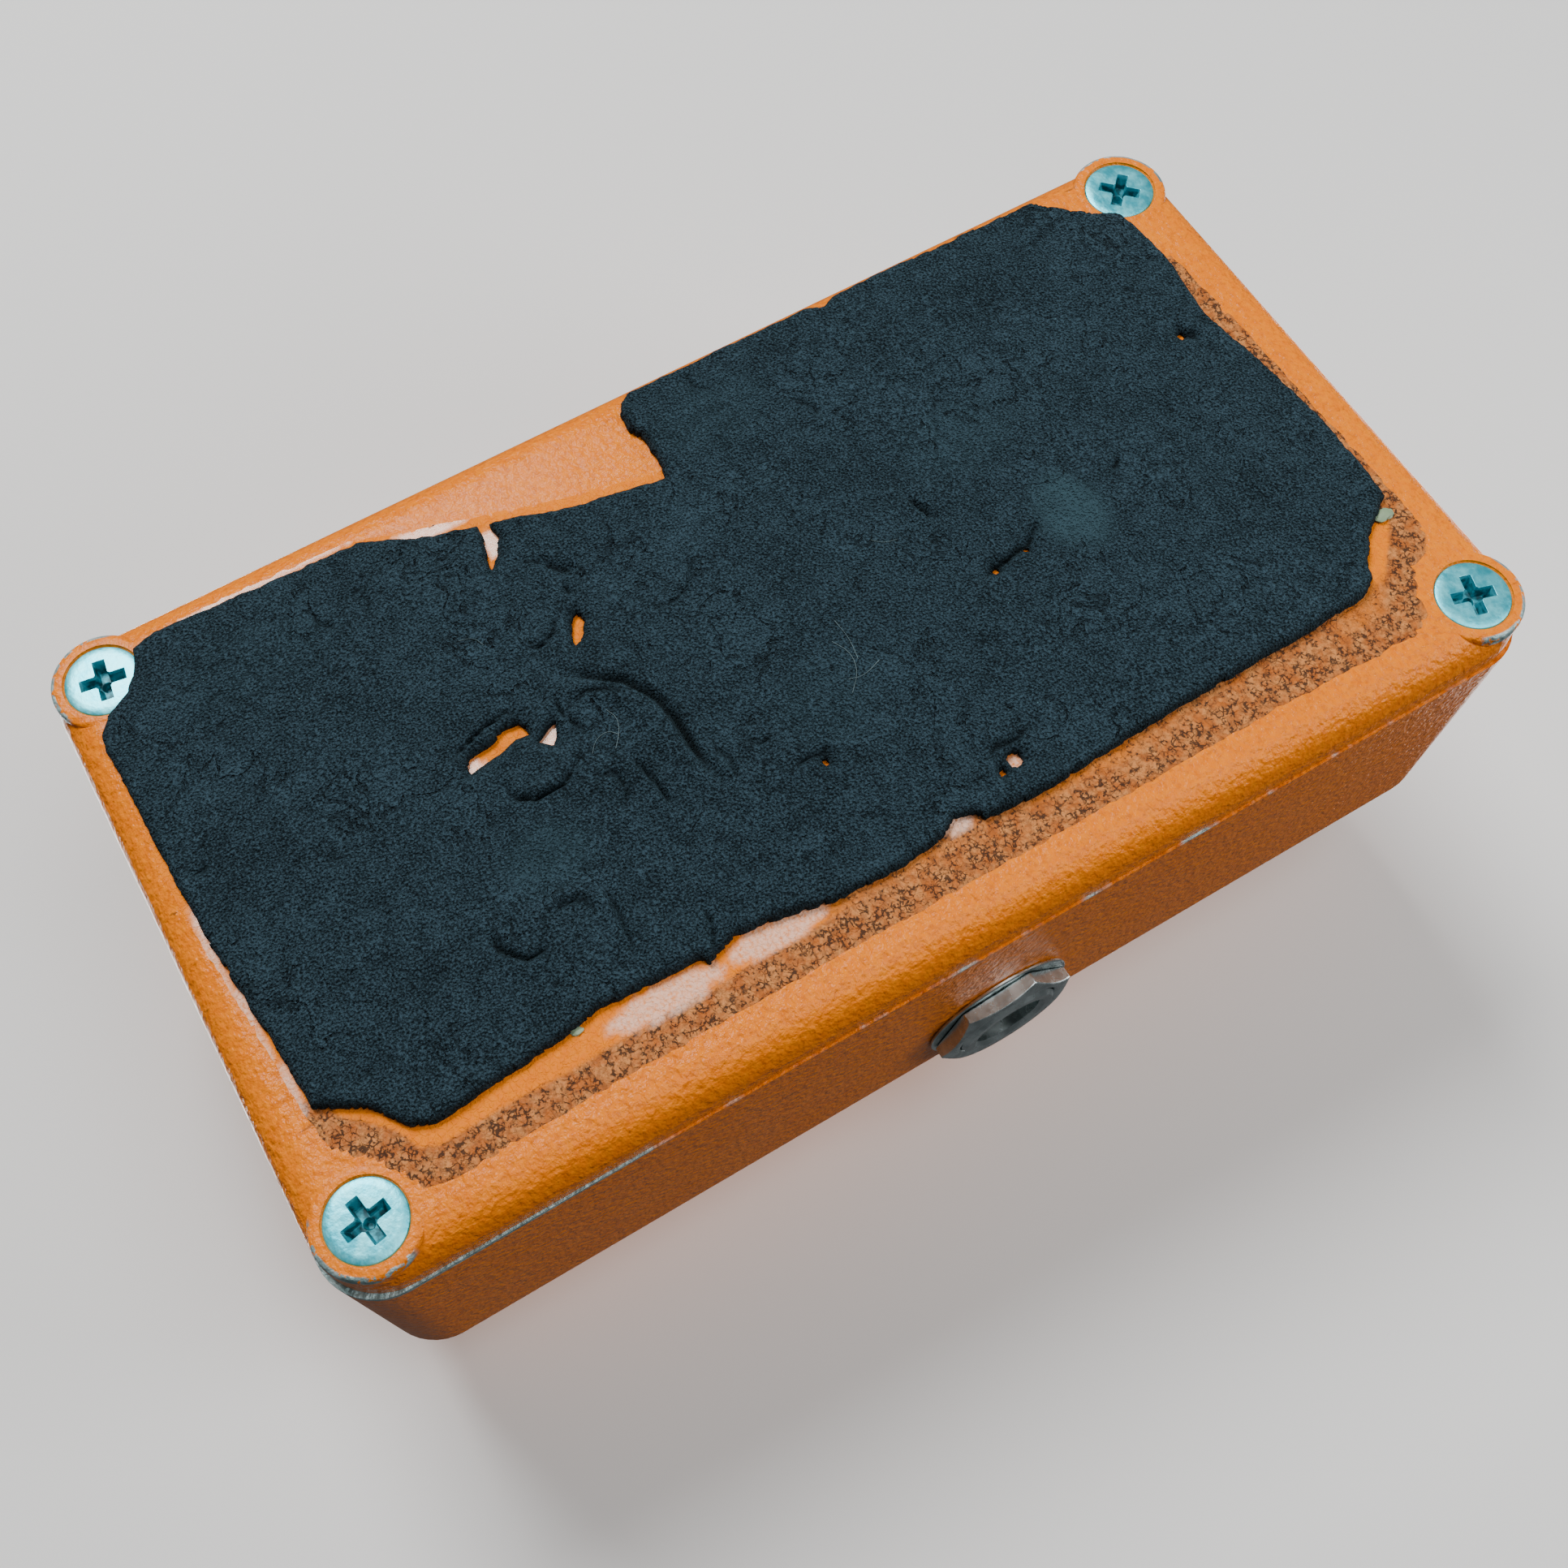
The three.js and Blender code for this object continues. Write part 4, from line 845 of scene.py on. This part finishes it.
def padShape():
    low, high = padOutline.min(0) - 0.6, padOutline.max(0) + 0.6
    sheet = trimmedSheet(padDepth, low, high, pad["cell"])
    points = np.array([v.co.xy[:] for v in sheet.verts])
    for v, z in zip(sheet.verts, padZ(points)):
        v.co.z = z
    return thickened(sheet, pad["back"])


def paleness(points):
    worn = np.zeros(len(points))
    for along, across, reachAlong, reachAcross, strength in pad["pale"]:
        away = np.hypot((points[:, 1] - along) / reachAlong, (points[:, 0] + across) / reachAcross)
        worn = np.maximum(worn, strength * (1 - smooth(away, 0.5, 1.25)))
    return worn * (0.85 + 0.3 * lumps(points, 2.0, 6.0))


def shading(points):
    # painted shade, dark down in the creases and along the torn edge
    torn = 0.5 * (1 - smooth(padDepth(points), 0, 0.5))
    return np.maximum(creaseShape(points)[1], torn)


foamPad = piece("wornFoamPad", padShape(), "case", "foam", ["foam_pad"], 80)
label(foamPad, "pale", paleness)
# the hollow attribute carries the painted shade of the creases and the torn edge
label(foamPad, "hollow", shading)
print("foam pad made,", len(foamPad.data.polygons), "faces")


glue = {
    "cell": 0.5, "thickness": 0.07,
    "outline": [
        (-53, -6), (-52.6, 0), (-52.05, 6), (-51.5, 12), (-51.3, 16), (-50.6, 19.4), (-48.6, 21.4),
        (-47.2, 23.2), (-46, 25.4), (-44, 25.9), (-30, 25.5), (-10, 25.5), (10, 25.6), (30, 25.5),
        (44, 25.9), (46.2, 25), (46.8, 22.8), (48, 20.8), (50.4, 19.8), (51.2, 18), (51.2, 12), (51, 4),
        (50.8, -6), (50.2, -16), (48, -20), (44, -25.6), (41, -27), (20, -27.2), (0, -27.2), (-0.8, -19.6),
        (-6, -20.8), (-12, -22.2), (-18, -24), (-24, -25.8), (-28, -27.1), (-36, -27.3), (-44, -27.5),
        (-46.5, -26.4), (-47.6, -23.4), (-51, -20.6), (-52.6, -16),
    ],
    "grimeLine": [
        (-51.2, 16.6), (-50.2, 18.6), (-49, 19.6), (-47.3, 21.4), (-46.2, 23.8), (-44, 24.7), (-20, 24.3),
        (0, 24.2), (20, 24.3), (38, 24.7), (44, 24.4), (46.2, 21.6), (48.6, 19.2), (50.6, 16.6), (50.8, 8),
        (50.6, -4), (50, -15),
    ],
    "grimeWidth": 1.9,
    # shiny patches, whitened in colour partly as milky glue and partly as a painted highlight: (along,
    # across, reach along, reach across)
    "shinyWithHighlight": [
        (-24, 21.9, 5.6, 1.35), (-14.2, 21.6, 4.8, 1.3), (-52.3, 1, 0.45, 5), (-51.8, 8, 0.45, 4.6),
        (-51.3, 14, 0.4, 3), (-36, -27.1, 8.5, 0.55), (-17.2, -20.6, 1, 1.6), (-21.4, -1.9, 1.4, 1.2),
        (-28, -2.4, 1, 0.8), (-20, -24.6, 6, 0.8), (9.3, 18.8, 0.8, 0.8), (2.5, 20.9, 1.5, 0.8),
    ],
}
glueOutline = xyOf(glue["outline"])


def glueDepth(points):
    return depthIn(glueOutline, points) + 0.18 * lumps(points, 1.1, 11.0) + 0.12 * lumps(points, 0.5, 12.0)


def glueShape():
    low, high = glueOutline.min(0) - 0.6, glueOutline.max(0) + 0.6
    sheet = trimmedSheet(glueDepth, low, high, glue["cell"])
    points = np.array([v.co.xy[:] for v in sheet.verts])
    rough = 0.5 * lumps(points, 1.2, 13.0) + 0.4 * lumps(points, 0.6, 14.0)
    edge = smooth(glueDepth(points), 0, 0.5)
    for v, height in zip(sheet.verts, glue["thickness"] * (0.15 + edge * (0.6 + 0.5 * rough))):
        v.co.z = plateFace - max(height, 0.008)
    return thickened(sheet, plateFace + 0.02)


def griminess(points):
    # strongest in a band near the edge; towards the knob end it reaches in to the pad as well
    distance = distanceTo(xyOf(glue["grimeLine"]), points)[0]
    band = 1 - smooth(distance, 0.45 * glue["grimeWidth"], 1.1 * glue["grimeWidth"])
    inner = smooth(-points[:, 0], 19, 21) * smooth(points[:, 1], -16, -4)
    return np.maximum(band, 0.62 * inner) * (0.85 + 0.4 * lumps(points, 5, 15.0))


# glossy patches, which the glue material also whitens, partly as milky glue and partly as a painted highlight
def shineAndHighlightAt(points):
    wet = np.zeros(len(points))
    for along, across, reachAlong, reachAcross in glue["shinyWithHighlight"]:
        away = np.hypot((points[:, 1] - along) / reachAlong, (points[:, 0] + across) / reachAcross)
        wet = np.maximum(wet, 1 - smooth(away + 0.25 * lumps(points, 1.0, 16.0), 0.75, 1.05))
    return wet


gluePatch = piece("oldGlueFilm", glueShape(), "case", "glue", [], 80)
label(gluePatch, "grime", griminess)
label(gluePatch, "gloss", shineAndHighlightAt)
print("glue made")


# Lint and small chips stuck to the pad

lint = {
    "radius": 0.022,
    "fibres": [
        [(-19.4, 1.6), (-18.6, 0.6), (-17.4, 0.4), (-16.8, 1.2)],
        [(-16.6, -1.2), (-16.2, -0.2), (-16.6, 1), (-17.6, 2.2)],
        [(2.2, 2.6), (3, 4.2), (2.6, 6), (1.2, 7.4)],
        [(1.6, 6.2), (2.8, 6.6), (4.6, 6)],
        [(3.4, 1), (3.6, 3), (3.2, 5)],
        [(-24, -13), (-22.8, -12.6), (-22.4, -11.6)],
        [(10, -4), (10.8, -3.2), (12, -3)],
    ],
}


def tubeAlong(shape, points, radius, sides=6):
    # a thin tube swept along a smooth line through points
    line = [Vector(p) for p in points]
    for _ in range(2):
        softer = [line[0]]
        for a, b in zip(line, line[1:]):
            softer += [a.lerp(b, 0.25), a.lerp(b, 0.75)]
        line = [*softer, line[-1]]
    rings = []
    for i, centre in enumerate(line):
        ahead = (line[min(i + 1, len(line) - 1)] - line[max(i - 1, 0)]).normalized()
        turn = ahead.to_track_quat("Z", "Y").to_matrix().to_4x4()
        made = bmesh.ops.create_circle(shape, cap_ends=i in (0, len(line) - 1), segments=sides, radius=radius,
                                       matrix=Matrix.Translation(centre) @ turn)
        rings.append([e for v in made["verts"] for e in v.link_edges if e.other_vert(v) in made["verts"]])
    for first, second in zip(rings, rings[1:]):
        bmesh.ops.bridge_loops(shape, edges=list(set(first + second)))
    bmesh.ops.recalc_face_normals(shape, faces=shape.faces)


def lintShape():
    shape = bmesh.new()
    for fibre in lint["fibres"]:
        flat = xyOf(fibre)
        heights = padZ(flat) - lint["radius"] - 0.05
        tubeAlong(shape, [(x, y, max(z, 0.03)) for (x, y), z in zip(flat, heights)], lint["radius"])
    return shape


def chipShape(along, across, size, z):
    shape = bmesh.new()
    bmesh.ops.create_icosphere(shape, subdivisions=3, radius=1)
    for v in shape.verts:
        v.co *= 1 + 0.35 * noise.noise(v.co * 1.7 + Vector((along, across, 0)))
    bmesh.ops.scale(shape, vec=size, verts=shape.verts)
    return move(shape, -across, along, z)


piece("padLint", lintShape(), "case", "lint", [], 60)
piece("paleChip1", chipShape(48.9, 15.5, (0.6, 0.9, 0.2), 1.25), "case", "paleChip", [], 60)
piece("paleChip2", chipShape(-31, 20.7, (0.3, 0.5, 0.12), 1.35), "case", "paleChip", [], 60)
print("lint and chips made")


# Nuts, washers and threads

def hexNut(across, bore, z0, z1, chamfer=0.45):
    # a six-sided nut whose corners are turned off at its outer end
    radius = across / math.sqrt(3)
    outer = rod(radius, z0, z1, 6)
    blank = turned([(0, z0 - 1), (radius + 0.05, z0 - 1), (radius + 0.05, z1 - chamfer),
                    (across / 2 - 0.1, z1), (0, z1)])
    wide, mouth = bore + 1.3, 0.3
    hole = turned([(0, z0 - 1), (wide, z0 - 1), (bore, z0 + mouth), (bore, z1 - mouth), (wide, z1 + 1),
                   (0, z1 + 1)])
    return cut(kept(outer, blank), hole)


def flatRing(inner, outer, z0, z1, edge=0.1):
    return ringed([(inner, z0), (outer - edge, z0), (outer, z0 + edge), (outer, z1 - edge),
                   (outer - edge, z1), (inner, z1)])


def threadedTube(bore, radius, z0, z1, threadFrom, pitch=0.8, depth=0.28, mouth=0.35):
    points = [(bore, z0), (radius, z0), (radius, threadFrom)]
    z = threadFrom
    while z < z1 - mouth - pitch:
        points += [(radius - depth, z + 0.42 * pitch), (radius - depth, z + 0.5 * pitch),
                   (radius, z + 0.88 * pitch), (radius, z + pitch)]
        z += pitch
    points += [(radius, z1 - mouth), (radius - mouth, z1), (bore + mouth, z1), (bore, z1 - mouth)]
    return ringed(points)


def nutAndWasher(name, node, place, across, bore, rim, chamfer, ease):
    nutLow, nutHigh = spanOf(f"{node}_nut")
    nut = move(hexNut(across, bore, nutLow.z, nutHigh.z, chamfer), y=place.y)
    easeEdges(piece(f"{name}Nut", nut, "case", "nickel", [f"{node}_nut"], 25), ease)
    washerLow, washerHigh = spanOf(f"{node}_washer")
    washer = move(flatRing(bore, rim, washerLow.z, washerHigh.z), y=place.y)
    piece(f"{name}Washer", washer, "case", "nickel", [f"{node}_washer"], 25)


def atJack(shape, side):
    turn = Matrix.Rotation(0 if side > 0 else math.pi, 4, "Z") @ Matrix.Rotation(math.pi / 2, 4, "Y")
    where = Matrix.Translation((side * jack["wallFace"], jackPlace.y, jackPlace.z))
    bmesh.ops.transform(shape, matrix=where @ turn, verts=shape.verts)
    return shape


jack = {
    "nutAcross": 11.6, "nutTurn": 0.19, "bushing": 4.76, "bore": 3.275, "proud": 2.2, "threadFrom": 0.4,
    "nutIn": 0.5, "nutOut": 2.0, "washerIn": 0.1, "washerOut": 0.45, "washer": 6.95, "wallFace": 30,
    "plateBack": -3.2, "plateFront": -2.05, "plateTop": 30.95, "plateHalf": 7.5, "legIn": 5.85, "legOut": 7,
    "legHalf": 5,
}


def jackBushing(side, frameNode):
    # the threaded bushing with its face plate and leg; here Z points out of the box
    low, high = spanOf(frameNode)
    inner = min(abs(low.x), abs(high.x)) - jack["wallFace"]
    back, front = jack["plateBack"], jack["plateFront"]
    tube = threadedTube(jack["bore"], jack["bushing"], back, jack["proud"], jack["threadFrom"])
    top, half = jack["plateTop"] - jackPlace.z, jack["plateHalf"]
    facePlate = slab(-top, jack["legOut"], -half, half, back, front)
    leg = slab(jack["legIn"], jack["legOut"], -jack["legHalf"], jack["legHalf"], inner, front)
    bore = rod(jack["bore"] + 0.4, back - 0.8, front + 0.55, 48)
    return atJack(joined(tube, cut(facePlate, bore), leg), side)


for side, name in ((-1, "output"), (1, "input")):
    frameNode = f"{name}_jack_frame"
    piece(f"{name}JackBushing", jackBushing(side, frameNode), "case", "jackNickel",
          [frameNode])
    nut = hexNut(jack["nutAcross"], jack["bushing"] + 0.1, jack["nutIn"], jack["nutOut"])
    turnShape(nut, jack["nutTurn"], "Z")
    easeEdges(piece(f"{name}JackNut", atJack(nut, side), "case", "jackNickel",
                    [f"{name}_jack_nut"], 25), 0.1)
    washer = flatRing(jack["bushing"] + 0.1, jack["washer"], jack["washerIn"], jack["washerOut"])
    piece(f"{name}JackWasher", atJack(washer, side), "case", "jackNickel",
          [f"{name}_jack_washer"], 25)
print("jacks made")


# Knob and its fastening

knob = {
    "radius": 10, "topRadius": 9.2, "flutes": 18, "fluteDepth": 0.5, "dish": 0.25, "bushingRoom": 3.8,
    "shaftHole": 3.1, "screwHole": 1.6, "nutAcross": 11, "nutBore": 3.6, "washer": 6.5,
}


def knobShape():
    low, high = spanOf("speed_knob")
    sides = knob["flutes"] * 8
    shape = bmesh.new()
    bmesh.ops.create_circle(shape, cap_ends=True, segments=sides, radius=knob["radius"])
    for v in shape.verts:
        angle = math.atan2(v.co.y, v.co.x)
        dip = (0.5 - 0.5 * math.cos(knob["flutes"] * angle)) ** 2.2
        v.co.xy = v.co.xy * (1 - knob["fluteDepth"] / knob["radius"] * dip)
    face = shape.faces[:]
    tall = high.z - low.z
    narrow = knob["topRadius"] / knob["radius"]
    dished = tall - knob["dish"]
    # heights up the side, over the rim and into the dish, each with its width as a share of the foot's
    steps = [(0.25, 1.0), (tall - 1.1, narrow + 0.006), (tall - 0.45, narrow - 0.012),
             (tall - 0.12, narrow - 0.045), (tall, narrow - 0.09), (tall, 0.74), (dished, 0.71),
             (dished, 0.3), (dished, 0.02)]
    scaleNow = 1.0
    for number, (height, scale) in enumerate(steps):
        grown = bmesh.ops.extrude_face_region(shape, geom=face)["geom"]
        if number:  # the foot stays, and the caps left inside go
            bmesh.ops.delete(shape, geom=face, context="FACES")
        for v in grown:
            if isinstance(v, bmesh.types.BMVert):
                v.co.z = height
                v.co.xy = v.co.xy * (scale / scaleNow)
        face = [f for f in grown if isinstance(f, bmesh.types.BMFace)]
        scaleNow = scale
    bmesh.ops.recalc_face_normals(shape, faces=shape.faces)
    move(shape, z=low.z)
    shaftTop = spanOf("pot_shaft")[1].z
    bushingTop = spanOf("pot_bushing")[1].z
    shaftBore = rod(knob["shaftHole"], low.z - 1, shaftTop + 0.1)
    bushingBore = rod(knob["bushingRoom"], low.z - 1, bushingTop + 0.3)
    side = turnShape(rod(knob["screwHole"], 0, knob["radius"] + 2, 32), math.pi / 2, "X")
    move(side, z=middleOf("knob_set_screw").z)
    return move(cut(shape, shaftBore, bushingBore, side), y=knobPlace.y)


piece("knobShell", knobShape(), "knob", "knob", ["speed_knob"], 28)
nutAndWasher("pot", "pot", knobPlace, knob["nutAcross"], knob["nutBore"], knob["washer"], 0.45, 0.08)
print("knob made")


# Footswitch

footswitch = {
    "bushing": 6, "bore": 4.65, "lip": 1.3, "floorAcross": 10, "floorAlong": 8.75, "floorThick": 1,
    "plunger": 4.5, "dome": 1.8, "flange": 4.95, "flangeThick": 1.9, "stem": 2.6, "hollow": 4.3,
    "hollowDepth": 3.1, "nutAcross": 14.5, "nutBore": 6.1, "washer": 9.2,
}


def plungerShape():
    low, high = spanOf("switch_plunger")
    radius, dome = footswitch["plunger"], footswitch["dome"]
    angles = np.linspace(0, math.pi / 2, 9)[:-1]
    crown = [(radius * math.cos(a), high.z - dome + dome * math.sin(a)) for a in angles]
    flangeTop = spanOf("switch_frame")[1].z - footswitch["lip"]
    flangeLow = flangeTop - footswitch["flangeThick"]
    # the hollow round the stem takes the spring's upper turns when the plunger is pressed
    hollowTop = flangeLow + footswitch["hollowDepth"]
    profile = [(0, low.z), (footswitch["stem"], low.z), (footswitch["stem"], hollowTop),
               (footswitch["hollow"], hollowTop), (footswitch["hollow"], flangeLow),
               (footswitch["flange"], flangeLow), (footswitch["flange"], flangeTop), (radius, flangeTop),
               *crown, (0, high.z)]
    return move(turned(profile, 96), y=switchPlace.y)


def switchBushing():
    low, high = spanOf("switch_frame")
    across, along, thick = footswitch["floorAcross"], footswitch["floorAlong"], footswitch["floorThick"]
    tube = threadedTube(footswitch["bore"], footswitch["bushing"], low.z, high.z, bodyHigh.z + 0.2,
                        0.75, 0.26, 0.3)
    floor = slab(-across, across, -along, along, low.z, low.z + thick)
    stemHole = rod(footswitch["stem"] + 0.15, low.z - 1, low.z + thick + 1, 48)
    return move(cut(joined(tube, floor), stemHole), y=switchPlace.y)


piece("footswitchPlunger", plungerShape(), "footswitch", "chrome", ["switch_plunger"], 30)
piece("footswitchBushing", switchBushing(), "case", "nickel", ["switch_frame"], 30)
nutAndWasher("footswitch", "switch", switchPlace, footswitch["nutAcross"], footswitch["nutBore"],
             footswitch["washer"], 0.5, 0.1)
print("footswitch made")


# Materials of the CAD parts that stay

finishOf = {
    "battery": "batteryCase", "battery_snap": "blackPlastic", "battery_foam": "batteryFoam",
    "circuit_board": "boardGreen", "film_capacitor": "filmYellow", "trimmer_base": "trimmerBlue",
    "battery_lead_red": "redWire",
    "battery_lead_black": "blackWire", "output_wire": "whiteWire", "input_wire": "whiteWire",
    "effect_wire": "whiteWire", "pot_track": "fibre", "output_jack_insulator": "fibre",
    "input_jack_insulator": "fibre", "output_tip_spring": "brass", "input_tip_spring": "brass",
    "input_ring_spring": "brass", "switch_terminals": "brass", "switch_spring": "steel",
    "knob_set_screw": "steel", "switch_lower_nut": "nickel", "pot_can": "nickel", "pot_bushing": "nickel",
    "pot_shaft": "nickel",
}
for name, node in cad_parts.items():
    if node.hide_render:
        continue
    finish = next((finishOf[key] for key in sorted(finishOf, key=len, reverse=True) if name.startswith(key)),
                  "blackPlastic")
    for spot in node.material_slots:
        spot.material = finishes[finish]
print("frame finished")


# Floor, lights and camera. The pedal lies on its knob and footswitch, so the floor that the camera sees is
# the plane that touches them. A second floor stands under the pad for views from above. Each shows from one
# side only.

stage = {"reach": 5000, "colour": (0.74, 0.74, 0.73), "gap": 0.05}


def oneSided(name, colour):
    shader = Shader(name, {"Base Color": (*colour, 1), "Roughness": 0.9})
    clear = shader.node("ShaderNodeBsdfTransparent")
    back = shader.node("ShaderNodeNewGeometry", output="Backfacing")
    surface = Value(shader, shader.surface.outputs[0])
    both = shader.node("ShaderNodeMixShader", inputs={0: back, 1: surface, 2: clear})
    shader.tree.links.new(both.socket, shader.tree.nodes["Material Output"].inputs["Surface"])
    return shader.material


def floorAt(name, y0, z0, y1, z1, upward):
    shape = bmesh.new()
    bmesh.ops.create_grid(shape, x_segments=8, y_segments=8, size=stage["reach"])
    slope = math.atan2(z1 - z0, y1 - y0)
    turn = Matrix.Rotation(slope, 4, "X")
    if not upward:
        turn = turn @ Matrix.Rotation(math.pi, 4, "Y")
    bmesh.ops.transform(shape, matrix=Matrix.Translation((0, y0, z0)) @ turn, verts=shape.verts)
    bmesh.ops.scale(shape, vec=(mm, mm, mm), verts=shape.verts)
    mesh = bpy.data.meshes.new(name)
    shape.to_mesh(mesh)
    shape.free()
    mesh.materials.append(oneSided(name, stage["colour"]))
    made = bpy.data.objects.new(name, mesh)
    bpy.context.scene.collection.objects.link(made)
    made.visible_diffuse = made.visible_glossy = made.visible_transmission = made.visible_shadow = False


def areaLight(name, toward, distance, size, power):
    data = bpy.data.lights.new(name, "AREA")
    data.shape = "DISK"
    data.size = size
    data.energy = power
    lamp = bpy.data.objects.new(name, data)
    direction = Vector(toward).normalized()
    lamp.location = direction * distance + Vector((0, 0, 0.02))
    lamp.rotation_mode = "QUATERNION"
    lamp.rotation_quaternion = direction.to_track_quat("Z", "Y")
    bpy.context.scene.collection.objects.link(lamp)


knobTop, switchTop = spanOf("speed_knob")[1].z, spanOf("switch_plunger")[1].z
floorAt("lowerFloor", 0, 0, 1, 0, True)
floorAt("upperFloor", switchPlace.y, switchTop + stage["gap"], knobPlace.y, knobTop + stage["gap"], False)
areaLight("keyBelow", (0.55, -0.05, -0.83), 0.75, 0.34, 7)
areaLight("fillBelow", (-0.27, 0.22, -0.92), 0.9, 0.5, 3.3)
areaLight("nearBelow", (-0.5, 0.75, -0.45), 0.3, 0.12, 0.35)
areaLight("keyAbove", (0.5, -0.25, 0.8), 0.9, 0.6, 7)
areaLight("fillAbove", (0.1, 0.75, 0.6), 0.9, 0.6, 3)

world = bpy.data.worlds.new("studio")
world.use_nodes = True
world.node_tree.nodes["Background"].inputs["Color"].default_value = (0.86, 0.88, 0.9, 1)
world.node_tree.nodes["Background"].inputs["Strength"].default_value = 0.13
bpy.context.scene.world = world

view = {
    "place": (-61.15, -38.02, -127.97), "turn": (-0.11197, 0.48540, 0.84755, -0.18305), "lens": 41.19,
    "shift": (0.0226, -0.0076),
}
lens = bpy.data.cameras.new("camera")
lens.lens = view["lens"]
lens.shift_x, lens.shift_y = view["shift"]
lens.clip_start = 0.005
camera = bpy.data.objects.new("camera", lens)
camera.location = Vector(view["place"]) * mm
camera.rotation_mode = "QUATERNION"
camera.rotation_quaternion = Quaternion(view["turn"])
bpy.context.scene.collection.objects.link(camera)
bpy.context.scene.camera = camera

print("scene ready")
